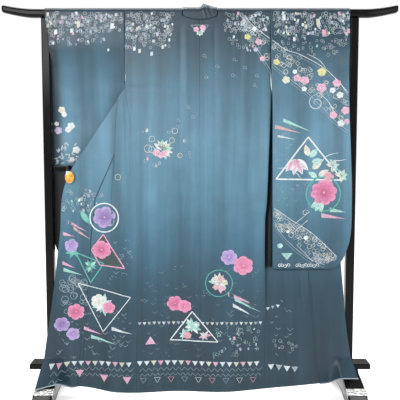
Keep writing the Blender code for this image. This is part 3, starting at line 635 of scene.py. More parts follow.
def sleeve_shade(n, xyz):
    """The left sleeve's near layer: deep shade below the middle rail, softer along its outer fold."""
    below = smooth_step(n, xyz.outputs["Z"], 1.045, 0.990)
    fold = n.math("MULTIPLY", smooth_step(n, xyz.outputs["X"], -0.590, -0.622), 0.72)
    near_layer = smooth_step(n, xyz.outputs["Y"], 0.0285, 0.0265)
    return n.math("MULTIPLY", n.math("MAXIMUM", below, fold), near_layer)


def silk(name, shade_of=None):
    """Blue grey satin silk, darker at shoulders and hem, with painted fold light and shade and a fine weave.
    """
    n = Nodes(name)
    coordinates, xyz = place(n)
    height = n.math("DIVIDE", xyz.outputs["Z"], TONE_HEIGHT)
    drift = n.add("ShaderNodeTexNoise", {"Vector": coordinates, "Scale": 2.2, "Detail": 2.0})
    height = n.math("ADD", height, n.math("MULTIPLY", n.math("SUBTRACT", drift.outputs["Fac"], 0.5), 0.05))
    base_tone = n.ramp(height, [(at, srgb(*colour)) for at, colour in HEIGHT_TONES])
    mottle = n.add("ShaderNodeTexNoise", {"Vector": coordinates, "Scale": 14.0, "Detail": 4.0,
                                          "Roughness": 0.6})
    shade = n.ramp(mottle.outputs["Fac"], [(0.30, (0.92, 0.92, 0.92, 1)), (0.70, (1.07, 1.07, 1.07, 1))])
    # Painted light and shade of soft vertical satin folds: long noise bands that lighten and darken the
    # colour.
    long = n.add("ShaderNodeMapping", {"Vector": coordinates, "Scale": (13.0, 0.0, 0.9)})
    painted_sheen_noise = n.add("ShaderNodeTexNoise", {"Vector": long.outputs["Vector"], "Scale": 1.0, "Detail": 3.0,
                                         "Roughness": 0.55})
    painted_fold_bands = n.ramp(painted_sheen_noise.outputs["Fac"],
                   [(at, (v, v, v, 1)) for at, v in ((0.32, 0.70), (0.50, 1.0), (0.68, 1.28))])
    shade = n.add("ShaderNodeMix", {0: 1.0, 6: shade, 7: painted_fold_bands}, data_type="RGBA",
                  blend_type="MULTIPLY").outputs[2]
    colour = n.add("ShaderNodeMix", {0: 1.0, 6: base_tone, 7: shade}, data_type="RGBA",
                   blend_type="MULTIPLY").outputs[2]
    # Painted shade: where shade_of gives a mask, the colour is mixed towards the near-black SHADE.
    if shade_of:
        deep = shade_of(n, xyz)
        colour = n.add("ShaderNodeMix", {0: deep, 6: colour, 7: srgb(*SHADE)}, data_type="RGBA").outputs[2]
    warp = n.add("ShaderNodeTexWave", {"Vector": coordinates, "Scale": 420.0, "Distortion": 0.4,
                                       "Detail": 1.0},
                 bands_direction="X")
    weft = n.add("ShaderNodeTexWave", {"Vector": coordinates, "Scale": 300.0, "Distortion": 0.6,
                                       "Detail": 1.0},
                 bands_direction="Z")
    slub = n.add("ShaderNodeTexNoise", {"Vector": coordinates, "Scale": 60.0, "Detail": 3.0})
    weave = n.math("ADD", n.math("MULTIPLY", warp.outputs["Fac"], 0.5), n.math("MULTIPLY",
                                                                               weft.outputs["Fac"], 0.7))
    weave = n.math("ADD", weave, n.math("MULTIPLY", slub.outputs["Fac"], 0.8))
    bump = n.add("ShaderNodeBump", {"Strength": 0.10, "Distance": 0.0006, "Height": weave})
    rough = n.math("ADD", 0.34, n.math("MULTIPLY", slub.outputs["Fac"], 0.12))
    n.set(Base_Color=colour, Roughness=rough, Normal=bump.outputs["Normal"], Specular_IOR_Level=0.42,
          Sheen_Weight=0.0, Anisotropic=0.35)
    return n.material


def lining(name):
    """Pale silk lining with a faint weave."""
    n = Nodes(name)
    coordinates, _ = place(n)
    slub = n.add("ShaderNodeTexNoise", {"Vector": coordinates, "Scale": 35.0, "Detail": 4.0})
    base_tone = n.ramp(slub.outputs["Fac"], [(0.3, srgb(128, 142, 150)), (0.7, srgb(150, 162, 168))])
    weave = n.add("ShaderNodeTexWave", {"Vector": coordinates, "Scale": 380.0, "Distortion": 0.5},
                  bands_direction="X")
    bump = n.add("ShaderNodeBump", {"Strength": 0.12, "Distance": 0.0005, "Height": weave.outputs["Fac"]})
    n.set(Base_Color=base_tone, Roughness=0.5, Normal=bump.outputs["Normal"], Sheen_Weight=0.2)
    return n.material


def lacquer(name):
    """Black lacquer: deep gloss with slight waviness and fine dust."""
    n = Nodes(name)
    coordinates, _ = place(n)
    cloud = n.add("ShaderNodeTexNoise", {"Vector": coordinates, "Scale": 9.0, "Detail": 3.0})
    dust = n.add("ShaderNodeTexNoise", {"Vector": coordinates, "Scale": 240.0, "Detail": 2.0})
    tint = n.ramp(cloud.outputs["Fac"], [(0.35, srgb(3, 3, 4)), (0.75, srgb(7, 7, 8))])
    rough = n.math("ADD", 0.12, n.math("MULTIPLY", cloud.outputs["Fac"], 0.12))
    rough = n.math("ADD", rough, n.math("MULTIPLY", n.math("GREATER_THAN", dust.outputs["Fac"], 0.66), 0.12))
    bump = n.add("ShaderNodeBump", {"Strength": 0.06, "Distance": 0.001, "Height": cloud.outputs["Fac"]})
    n.set(Base_Color=tint, Roughness=rough, Normal=bump.outputs["Normal"], Specular_IOR_Level=0.14)
    return n.material


def engraved_metal(name):
    """Silver-coloured fittings with an engraved scroll ground, darkened in the cuts."""
    n = Nodes(name)
    coordinates, _ = place(n)
    scroll = n.add("ShaderNodeTexVoronoi", {"Vector": coordinates, "Scale": 150.0},
                   feature="DISTANCE_TO_EDGE")
    vine = n.add("ShaderNodeTexWave", {"Vector": coordinates, "Scale": 40.0, "Distortion": 9.0,
                                       "Detail": 2.0},
                 wave_type="RINGS")
    cuts = n.math("MULTIPLY", n.math("GREATER_THAN", scroll.outputs["Distance"], 0.06), vine.outputs["Fac"])
    tint = n.ramp(cuts, [(0.10, srgb(92, 92, 92)), (0.45, srgb(206, 206, 200))])
    bump = n.add("ShaderNodeBump", {"Strength": 0.6, "Distance": 0.0006, "Height": cuts})
    n.set(Base_Color=tint, Metallic=0.9, Roughness=0.32, Normal=bump.outputs["Normal"])
    return n.material


def gilt(name):
    """A gilt oval with a pale enamelled corner, hung from a blackened hook."""
    n = Nodes(name)
    coordinates, xyz = place(n)
    wear = n.add("ShaderNodeTexNoise", {"Vector": coordinates, "Scale": 90.0, "Detail": 3.0})
    gold = n.ramp(wear.outputs["Fac"], [(0.35, srgb(190, 120, 30)), (0.7, srgb(226, 178, 80))])
    corner = n.math("SUBTRACT", xyz.outputs["Z"], n.math("MULTIPLY", xyz.outputs["X"], 1.2))
    enamel = smooth_step(n, corner, 1.676, 1.684)
    face = n.add("ShaderNodeMix", {0: enamel, 6: gold, 7: srgb(196, 190, 208)}, data_type="RGBA").outputs[2]
    hook = smooth_step(n, xyz.outputs["Z"], 1.0095, 1.0125)
    tint = n.add("ShaderNodeMix", {0: hook, 6: face, 7: srgb(10, 10, 12)}, data_type="RGBA").outputs[2]
    n.set(Base_Color=tint, Metallic=0.25, Roughness=n.math("ADD", 0.25, n.math("MULTIPLY",
                                                                               wear.outputs["Fac"], 0.2)))
    return n.material


# ---- Stand ---------------------------------------------------------------------------------------
def rounded_section(half, corner, steps=8):
    inner = half - corner
    points = []
    for k, (cy, cz) in enumerate([(inner, inner), (-inner, inner), (-inner, -inner), (inner, -inner)]):
        for s in range(steps + 1):
            angle = math.pi / 2 * (k + s / steps)
            points.append((cy + corner * math.cos(angle), cz + corner * math.sin(angle)))
    return points


def top_rail(look):
    """The top rail with its thinner, upswept tips and softly domed ends."""
    half_length = rail_high.x
    stations = [s * t for s,
                t in [(-1, v) for v in np.linspace(1.0, 0.80, 40)]] + list(np.linspace(-0.75, 0.75, 9))
    stations += list(np.linspace(0.80, 1.0, 40))
    points, faces = [], []
    for share in stations:
        tip = float(ease((abs(share) - 0.84) / 0.16))
        dome = min(1.0, (1.0 - abs(share)) / 0.012)
        half = blend(RAIL_HALF, RAIL_TIP_HALF, tip) * (0.80 + 0.20 * math.sqrt(1 - (1 - dome) ** 2))
        rise = RAIL_TIP_RISE * max(0.0, (abs(share) - 0.84) / 0.16) ** 1.6
        for y, z in rounded_section(half, 0.72 * half):
            points.append((share * half_length, y, RAIL_Z + rise + z))
    ring = len(points) // len(stations)
    for i in range(len(stations) - 1):
        for k in range(ring):
            a, b = i * ring + k, i * ring + (k + 1) % ring
            faces.append((a, b, b + ring, a + ring))
    faces.append(tuple(range(ring))[::-1])
    faces.append(tuple(range(len(points) - ring, len(points))))
    return new_object("upper_rail", points, faces, [look])


def foot(name, x, look):
    """An arched foot with rounded edges, swept down to both ends."""
    ys = np.linspace(-FOOT_HALF_LENGTH, FOOT_HALF_LENGTH, 97)
    board = board_low.z - 0.0004
    tops = np.where(np.abs(ys) < 0.5 * (board_high.y - board_low.y), board, np.minimum(foot_top(ys), board))
    unders = foot_under(ys)
    half, round_off = FOOT_WIDTH / 2, 0.006
    points, faces = [], []
    section = []
    for k in range(4):
        section += [(k, math.pi / 2 * s / 4) for s in range(5)]
    for y, top, under in zip(ys, tops, unders):
        r = min(round_off, 0.45 * (top - under))
        for k, angle in section:
            sx, sz = ((1, 1), (-1, 1), (-1, -1), (1, -1))[k]
            turn = angle + k * math.pi / 2
            cx = sx * (half - r)
            cz = (top - r) if sz > 0 else (under + r * 0.35)
            reach_z = r if sz > 0 else r * 0.35
            points.append((x + cx + r * math.cos(turn), y, cz + reach_z * math.sin(turn)))
    ring = len(section)
    for i in range(len(ys) - 1):
        for k in range(ring):
            a, b = i * ring + k, i * ring + (k + 1) % ring
            faces.append((a, a + ring, b + ring, b))
    faces.append(tuple(range(ring)))
    faces.append(tuple(range(len(points) - ring, len(points)))[::-1])
    made = new_object(name, points, faces, [look])
    made.data.set_sharp_from_angle(angle=math.radians(40))
    return made


def build_stand():
    black = lacquer("black_lacquer")
    rail = top_rail(black)
    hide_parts("top_rail")
    pieces = [rail]
    for label, sign in (("left", -1), ("right", 1)):
        made = foot("arched_foot_" + label, sign * POST_X, black)
        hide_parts("foot_" + label)
        pieces.append(made)
    for piece in pieces:
        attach(piece, "root")
    for node in ("post_left", "post_right", "middle_rail", "base_board"):
        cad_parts[node].data.materials.clear()
        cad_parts[node].data.materials.append(black)
    metal = engraved_metal("engraved_silver")
    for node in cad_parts:
        if node.startswith("foot_band"):
            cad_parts[node].data.materials.clear()
            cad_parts[node].data.materials.append(metal)
    gold = gilt("gilt_clip")
    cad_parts["rail_clip"].data.materials.clear()
    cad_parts["rail_clip"].data.materials.append(gold)


def build_garment():
    outside, inside = silk("satin_silk"), lining("silk_lining")
    # These two silks carry painted deep shade: beside the right side seam, and on the left sleeve below the
    # rail and along its outer fold.
    front_right, low_left = silk("satin_silk_right_painted_shade", gap_shade), silk("satin_silk_left_sleeve_painted_shade", sleeve_shade)
    looks = {"body_right": [front_right, inside], "sleeve_left": [low_left], "sleeve_right": [outside]}
    pieces = {}
    for label, side in (("left", LEFT), ("right", RIGHT)):
        for kind, make in (("body", body_panel), ("overlap", overlap_panel), ("sleeve", sleeve)):
            node = f"{kind}_{label}"
            piece = make(node + "_cloth", side, looks.get(node, [outside, inside]))
            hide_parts(node)
            pieces[node] = piece
        roll = hem_roll("hem_lining_" + label, side, [inside])
        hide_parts("hem_roll_" + label)
        pieces["hem_roll_" + label] = roll
    band = collar([outside])
    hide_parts("collar")
    pieces["collar"] = band
    for piece in pieces.values():
        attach(piece, "root")
    return pieces

# ---- Painted and dyed motifs ---------------------------------------------------------------------
# Places are (x, z) in metres on the side of the cloth that the garment's back faces. A motif is a very thin
# film of paint that follows the cloth under it, and its colour runs from the middle of each shape to its rim.
WHITE, CREAM, SILVER = (232, 238, 240), (226, 220, 196), (168, 184, 192)
PINK, ROSE, DEEP_ROSE, SALMON = (236, 168, 196), (222, 98, 148), (186, 52, 108), (224, 168, 166)
LAVENDER, PURPLE, DEEP_PURPLE = (196, 182, 222), (156, 112, 188), (106, 66, 146)
MINT, TEAL, GREEN, YELLOW = (168, 222, 208), (88, 178, 166), (72, 132, 112), (222, 214, 128)
FILM = 0.00045  # height of the lowest layer of paint over the cloth
# Colour of the painted shade drawn along the fronts' seams.
SEAM_SHADE = (14, 30, 42)
LAYER = 0.00012  # added for each layer painted over another
STEEPEST = 0.011  # most that one face of paint may differ in depth


def toward(a, b, t):
    return tuple(blend(np.array(a, float), np.array(b, float), t))


class Paint:
    """Flat shapes gathered into one mesh, laid on a surface that gives depth for x and z."""

    def __init__(self, depth):
        self.depth, self.points, self.lifts, self.colours, self.faces = depth, [], [], [], []

    def grid(self, points, colours, layer):
        """Quads through an array of (x, z) points with a colour for each."""
        points = np.asarray(points, float)
        start = len(self.points)
        rows, cols = points.shape[:2]
        self.points += points.reshape(-1, 2).tolist()
        self.colours += np.broadcast_to(np.asarray(colours, float), (rows, cols, 3)).reshape(-1, 3).tolist()
        self.lifts += [FILM + LAYER * layer] * (rows * cols)
        for i in range(rows - 1):
            for j in range(cols - 1):
                a = start + i * cols + j
                self.faces.append((a, a + 1, a + cols + 1, a + cols))

    def shape(self, outline, middle, rim, layer=0, rings=4, step=0.007):
        """A filled outline, its colour running from the middle to the rim."""
        outline = resample(np.array(outline, float), step, closed=True)
        centre = outline[:-1].mean(0)
        t = np.linspace(0.02, 1, max(2, rings))[:, None, None]
        colours = blend(np.array(middle, float), np.array(rim, float), t)
        self.grid(blend(centre, outline[None], t), np.broadcast_to(colours, (len(t), len(outline), 3)), layer)

    def line(self, path, width, colour, layer=1, closed=False, taper=False):
        """A drawn line along a path."""
        path = resample(np.array(path, float), 0.006, closed)
        along = np.gradient(path, axis=0)
        if closed:
            along[0] = along[-1] = path[1] - path[-2]
        along /= np.linalg.norm(along, axis=1)[:, None] + 1e-12
        across = np.stack([-along[:, 1], along[:, 0]], 1)
        half = np.full(len(path), 0.5 * width)
        if taper:
            half *= 0.25 + 0.75 * np.sin(math.pi * np.linspace(0.02, 0.98, len(path)))
        self.grid(np.stack([path - across * half[:, None], path + across * half[:, None]]), colour, layer)

    def make(self, name, look):
        """The shapes as one mesh on the cloth; a face that would bridge an edge or a fold is left out."""
        places, lifts = np.array(self.points), np.array(self.lifts)
        depth = self.depth(places[:, 0], places[:, 1])
        quads = np.array(self.faces)
        deep = depth[quads]
        quads = quads[np.isfinite(deep).all(1) & (deep.max(1) - deep.min(1) < STEEPEST)]
        used, numbers = np.unique(quads, return_inverse=True)
        points = np.stack([places[used, 0], depth[used] - lifts[used], places[used, 1]], -1)
        made = new_object(name, points, numbers.reshape(-1, 4).tolist(), [look])
        paint = made.data.color_attributes.new("paint", "FLOAT_COLOR", "POINT")
        linear = np.array([srgb(*c) for c in np.clip(np.array(self.colours)[used], 0, 255)])
        paint.data.foreach_set("color", linear.ravel())
        return made


def near_side(panels):
    """A function giving the nearest depth of some panels at arrays of x and z, nan off the cloth."""
    points, faces, count = [], [], 0
    for panel in panels:
        mesh = panel.data
        points += [v.co.copy() for v in mesh.vertices]
        faces += [[count + k for k in face.vertices] for face in mesh.polygons]
        count += len(mesh.vertices)
    tree = BVHTree.FromPolygons(points, faces)

    def depth(x, z):
        hits = [tree.ray_cast(Vector((a, -1.0, b)), Vector((0.0, 1.0, 0.0)))[0] for a, b in zip(x, z)]
        return np.array([hit.y if hit else np.nan for hit in hits])

    return depth


def resample(path, step, closed=False):
    """Points along a path no further apart than the step, keeping its corners."""
    if closed:
        path = np.vstack([path, path[:1]])
    out = []
    for a, b in zip(path, path[1:]):
        count = max(1, int(np.ceil(np.linalg.norm(b - a) / step)))
        out += [blend(a, b, k / count) for k in range(count)]
    return np.array(out + [path[-1]])


def around(x, z, radius, count=28, start=0.0, squash=1.0):
    a = start + 2 * math.pi * np.arange(count) / count
    return np.stack([x + radius * np.cos(a), z + squash * radius * np.sin(a)], 1)


def leaf(paint, x, z, angle, length, width, middle, rim, layer=1, vein=None):
    """A pointed leaf or petal from its base at x, z."""
    t = np.linspace(0, 1, 9)
    swell = width * np.sin(math.pi * t ** 0.8)
    c, s = math.cos(angle), math.sin(angle)
    side = lambda k: np.stack([x + c * length * t - s * k * swell, z + s * length * t + c * k * swell], 1)
    strips = [side(k) for k in (-0.5, -0.25, 0.0, 0.25, 0.5)]
    colours = [[toward(middle, rim, max(abs(k) * 2, u)) for u in t] for k in (-0.5, -0.25, 0.0, 0.25, 0.5)]
    paint.grid(strips, colours, layer)
    if vein:
        paint.line(side(0.0)[:-1], 0.0011, vein, layer + 1)


def flower(paint, x, z, radius, deep, pale, count=8, turn=0.3, layer=2, heart=CREAM):
    """An open flower: lobed whorls running from a deep heart to a pale rim, with drawn petal edges."""
    for whorl, (size, spin) in enumerate(((1.0, 0.0), (0.68, 0.5), (0.40, 0.0))):
        a = turn + 2 * math.pi * np.arange(8 * count) / (8 * count)
        lobe = np.abs(np.cos(0.5 * count * (a - turn) + math.pi * spin)) ** 0.6
        reach = size * radius * (0.82 + 0.18 * lobe)
        rim = toward(pale, deep, 0.10 + 0.16 * whorl)
        paint.shape(np.stack([x + reach * np.cos(a), z + 0.94 * reach * np.sin(a)], 1),
                    toward(deep, pale, 0.12), rim, layer + whorl, 4, 0.006)
        for k in range(count):
            angle = turn + 2 * math.pi * (k + 0.5 + spin) / count
            ends = [(x + r * size * radius * math.cos(angle),
                     z + 0.94 * r * size * radius * math.sin(angle)) for r in (0.45, 0.84)]
            paint.line(ends, 0.0011, toward(pale, deep, 0.55), layer + whorl + 1)
    paint.shape(around(x, z, 0.10 * radius, 8), heart, toward(heart, deep, 0.4), layer + 4, 2)


def blossom(paint, x, z, size, tint, layer=2, turn=0.0):
    """A small filled flower head with five lobes and a drawn rim."""
    a = 2 * math.pi * np.arange(30) / 30
    reach = size * (0.76 + 0.24 * np.abs(np.cos(2.5 * (a - turn))))
    outline = np.stack([x + reach * np.cos(a), z + 0.92 * reach * np.sin(a)], 1)
    paint.shape(outline, toward(tint, WHITE, 0.45), tint, layer, 3)
    paint.line(outline, 0.0010, toward(tint, WHITE, 0.6), layer + 1, closed=True)
    paint.shape(around(x, z, 0.22 * size, 7), toward(tint, GREEN, 0.5), tint, layer + 1, 2)


def curl(paint, x, z, size, colour, turns=1.6, start=0.0, width=0.0020):
    """A drawn spiral."""
    a = np.linspace(0, 2 * math.pi * turns, 40)
    reach = size * (1 - 0.85 * a / a[-1])
    paint.line(np.stack([x + reach * np.cos(a + start), z + reach * np.sin(a + start)], 1), width, colour,
               1, taper=True)


def ribbon(paint, rng, upper, lower, blossoms, count):
    """A band between two drawn lines, filled with curls, rings and lozenges, with flower heads set on it."""
    for path, tint in ((upper, WHITE), (lower, SILVER)):
        smooth = smooth_path(path)
        paint.line(smooth, 0.0022, tint, 1)
        paint.line(smooth - np.array([0.003, 0.011]), 0.0011, SILVER, 1)
    for k in range(count):
        t, share = (k + 0.5) / count, rng.uniform(0.06, 0.94)
        x, z = blend(np.array(path_at(upper, t)), np.array(path_at(lower, t)), share)
        tint = (SILVER, CREAM, WHITE, SILVER)[k % 4]
        if k % 3 == 0:
            curl(paint, x, z, rng.uniform(0.010, 0.016), tint, 1.3, rng.uniform(0, 6), 0.0015)
        elif k % 3 == 1:
            diamond(paint, x, z, rng.uniform(0.008, 0.013), rng.uniform(0.007, 0.011), tint, 1, 0.0015)
        else:
            paint.line(around(x, z, rng.uniform(0.006, 0.011), 14), 0.0014, tint, 1, closed=True)
    for k, (x, z, size, tint) in enumerate(blossoms):
        blossom(paint, x, z, size, tint, 3, 0.7 * k)


def ticks(paint, rng, low, high, count, tint):
    """Small chevrons and strokes, painted faintly."""
    for k in range(count):
        x, z, size = rng.uniform(low[0], high[0]), rng.uniform(low[1], high[1]), rng.uniform(0.005, 0.011)
        points = [(x - size, z + 0.5 * size), (x, z - 0.5 * size), (x + 1.4 * size, z + 0.6 * size)]
        paint.line(points[:2] if k % 3 == 0 else points, 0.0013, tint, 0, taper=k % 2 == 0)


def wedge(paint, x0, z0, x1, z1, thick, colour, layer=0):
    """A long thin triangle, fading towards its point."""
    paint.shape([(x0, z0 + thick), (x1, z1), (x0, z0 - thick)], colour, toward(colour, SILVER, 0.35), layer,
                3)


def scroll(paint, x, z, size, colour, turn=0.0, width=0.0013, layer=1):
    """A small arabesque curl."""
    a = np.linspace(0, 3.6, 14)
    reach = size * (1 - a / 4.6)
    paint.line(np.stack([x + reach * np.cos(a + turn), z + reach * np.sin(a + turn)], 1), width, colour,
               layer, taper=True)


def diamond(paint, x, z, wide, high, colour, layer=1, width=0.0014):
    paint.line([(x - wide, z), (x, z + high), (x + wide, z), (x, z - high)], width, colour, layer,
               closed=True)


def confetti(paint, rng, low, high, count, keep=lambda x, z: True):
    """Small squares, rings and filled scraps thrown over a band."""
    tints = (WHITE, WHITE, WHITE, CREAM, CREAM, SILVER, SILVER, SILVER, LAVENDER, MINT, PINK)
    for _ in range(count):
        x, z = rng.uniform(low[0], high[0]), rng.uniform(low[1], high[1])
        kind, size = rng.random(), rng.uniform(0.0035, 0.0085)
        tint, turn = tints[rng.integers(len(tints))], rng.uniform(-0.5, 0.5)
        if not keep(x, z):
            continue
        c, s = math.cos(turn), math.sin(turn)
        corners = [(x + size * (c * a - s * b), z + size * (s * a + c * b))
                   for a, b in ((-0.6, -0.9), (0.6, -0.9), (0.6, 0.9), (-0.6, 0.9))]
        if kind < 0.20:
            paint.shape(corners, tint, toward(tint, SILVER, 0.3), 0, 2)
        elif kind < 0.64:
            paint.line(corners, 0.0013, toward(tint, SILVER, 0.6), 0, closed=True)
        else:
            paint.line(around(x, z, 0.9 * size, 12), 0.0013, toward(tint, SILVER, 0.6), 0, closed=True)


def scrap(paint, x, z, size, tint):
    """A loose leaning square."""
    paint.shape([(x - 0.6 * size, z - size), (x + 0.6 * size, z - 0.8 * size), (x + 0.6 * size, z + size),
                 (x - 0.6 * size, z + 0.8 * size)], tint, toward(tint, SILVER, 0.3), 1, 2)


def bunting(paint, xs, z, size, tints, drop=0.0, outline=False):
    """A row of little triangles pointing down."""
    for k, x in enumerate(xs):
        tint = tints[k % len(tints)]
        base = z + drop * x
        corners = [(x - size, base + 0.8 * size), (x + size, base + 0.8 * size), (x, base - 0.9 * size)]
        if outline:
            paint.line(corners, 0.0014, tint, 0, closed=True)
        else:
            paint.shape(corners, tint, toward(tint, SILVER, 0.3), 0, 3)


def zigzag(paint, xs, z, rise, tint):
    """A fine zigzag line along a row."""
    paint.line([(x, z + (rise if k % 2 else -rise)) for k, x in enumerate(xs)], 0.0012, tint, 0)


def spray(paint, rng, x, z, reach, tints, count=9, layer=1):
    """A tuft of leaves and small petals round a point."""
    for k in range(count):
        angle = 2 * math.pi * k / count + rng.uniform(-0.25, 0.25)
        size = reach * rng.uniform(0.65, 1.0)
        tint = tints[k % len(tints)]
        leaf(paint, x, z, angle, size, 0.36 * size, toward(tint, WHITE, 0.35), tint, layer + k % 2,
             toward(tint, GREEN, 0.5))


def paint_back(paint, rng):
    """The two back panels."""
    confetti(paint, rng, (-0.315, 1.575), (-0.115, 1.680), 170)
    confetti(paint, rng, (-0.315, 1.530), (-0.130, 1.580), 34)
    confetti(paint, rng, (0.105, 1.600), (0.290, 1.680), 120)
    confetti(paint, rng, (0.125, 1.520), (0.280, 1.600), 34)
    for x, z, size, tint in ((-0.278, 1.529, 0.009, WHITE), (-0.256, 1.520, 0.009, CREAM),
                             (-0.205, 1.508, 0.009, WHITE), (-0.158, 1.536, 0.008, CREAM),
                             (-0.180, 1.590, 0.009, LAVENDER), (-0.130, 1.566, 0.007, WHITE)):
        scrap(paint, x, z, size, tint)
    ribbon(paint, rng, [(0.190, 1.668), (0.214, 1.636), (0.255, 1.602), (0.301, 1.568)],
           [(0.176, 1.640), (0.205, 1.583), (0.248, 1.520), (0.300, 1.437)],
           [(0.201, 1.579, 0.013, YELLOW), (0.248, 1.558, 0.014, PINK), (0.265, 1.487, 0.012, PINK),
            (0.230, 1.612, 0.010, WHITE), (0.236, 1.525, 0.009, LAVENDER)], 34)
    paint.line([(-0.038, 1.628), (0.036, 1.628), (-0.001, 1.582)], 0.0018, SILVER, 1, closed=True)
    blossom(paint, -0.016, 1.610, 0.012, PINK, 3)
    blossom(paint, 0.012, 1.617, 0.013, PINK, 3, 0.5)
    for angle, tint in ((-0.2, MINT), (-1.0, CREAM), (-2.2, MINT), (-1.6, WHITE)):
        leaf(paint, -0.001, 1.604, angle, 0.022, 0.011, WHITE, tint, 2)
    for x, z in ((-0.05, 1.283), (-0.03, 1.241), (-0.093, 1.228), (0.017, 1.50), (0.072, 1.455),
                 (0.19, 1.45), (0.139, 1.417), (0.241, 1.417), (0.026, 1.409), (0.231, 1.376),
                 (0.124, 1.570), (0.145, 1.484)):
        paint.line(around(x, z, 0.006, 12), 0.0013, SILVER, 0, closed=True)
        scroll(paint, x + 0.010, z - 0.004, 0.006, SILVER, rng.uniform(0, 6))
    for x, z, r in ((-0.222, 1.107, 0.016), (-0.206, 1.103, 0.013), (-0.205, 1.148, 0.012),
                    (-0.107, 1.182, 0.012), (-0.086, 1.078, 0.010), (-0.120, 1.142, 0.011),
                    (-0.352, 0.985, 0.012)):
        paint.line(around(x, z, r, 20), 0.0017, CREAM, 1, closed=True)
    for k, angle in enumerate(np.linspace(-1.2, 2.5, 9)):
        leaf(paint, -0.160, 1.102, angle, 0.046, 0.017, WHITE, (MINT, CREAM, WHITE)[k % 3], 2, GREEN)
    for x, z, size in ((-0.186, 1.090, 0.016), (-0.168, 1.080, 0.015), (-0.152, 1.088, 0.013)):
        blossom(paint, x, z, size, PINK, 4, 9 * x)
    confetti(paint, rng, (-0.26, 1.02), (-0.04, 1.22), 26)
    ticks(paint, rng, (-0.26, 0.20), (0.26, 0.60), 120, toward(SILVER, (60, 90, 104), 0.35))
    flower(paint, 0.125, 0.640, 0.036, PURPLE, LAVENDER, 6, 0.2, 3)
    flower(paint, 0.186, 0.604, 0.044, ROSE, PINK, 6, 0.5, 5)
    paint.line(around(0.082, 0.527, 0.058, 44), 0.0034, TEAL, 2, closed=True)
    spray(paint, rng, 0.082, 0.527, 0.050, (CREAM, PINK, MINT, WHITE), 12, 1)
    for x, z, tint in ((0.062, 0.541, CREAM), (0.090, 0.549, SALMON), (0.106, 0.530, CREAM),
                       (0.070, 0.511, SALMON), (0.094, 0.505, PINK)):
        blossom(paint, x, z, 0.014, tint, 4, 9 * x)
    wedge(paint, 0.122, 0.480, 0.248, 0.428, 0.010, PINK)
    wedge(paint, 0.150, 0.458, 0.268, 0.396, 0.007, MINT)
    wedge(paint, 0.142, 0.432, 0.236, 0.380, 0.008, WHITE)
    flower(paint, -0.108, 0.437, 0.036, DEEP_ROSE, PINK, 6, 0.1, 3)
    flower(paint, -0.066, 0.424, 0.030, ROSE, PINK, 6, 0.6, 5)
    triangle = [(-0.034, 0.402), (-0.130, 0.275), (0.078, 0.270)]
    paint.line(triangle, 0.0046, WHITE, 2, closed=True)
    spray(paint, rng, -0.034, 0.338, 0.044, (MINT, WHITE, MINT), 12, 3)
    spray(paint, rng, 0.020, 0.296, 0.030, (PINK, WHITE), 7, 3)
    spray(paint, rng, -0.072, 0.298, 0.030, (WHITE, MINT), 7, 3)
    flower(paint, -0.054, 0.296, 0.017, SALMON, PINK, 6, 0.2, 6)
    bunting(paint, np.arange(-0.262, 0.270, 0.021), 0.350, 0.0080, (SILVER, WHITE, SILVER, CREAM))
    bunting(paint, np.arange(-0.262, 0.270, 0.030), 0.172, 0.0125, (WHITE, WHITE, CREAM, PINK), -0.01)
    bunting(paint, np.arange(-0.247, 0.270, 0.060), 0.098, 0.0135, (SILVER, WHITE, PINK), 0.0, True)
    paint.shape([(-0.238, 0.258), (-0.194, 0.258), (-0.216, 0.292)], PINK, toward(PINK, WHITE, 0.4), 1, 3)
    for z, size in ((0.146, 0.013), (0.122, 0.011)):
        zigzag(paint, np.arange(-0.262, 0.272, size), z, 0.55 * size, SILVER)
    confetti(paint, rng, (0.060, 0.205), (0.262, 0.335), 26)
    for _ in range(30):
        scroll(paint, rng.uniform(0.06, 0.25), rng.uniform(0.20, 0.34), 0.010, MINT, rng.uniform(0, 6))


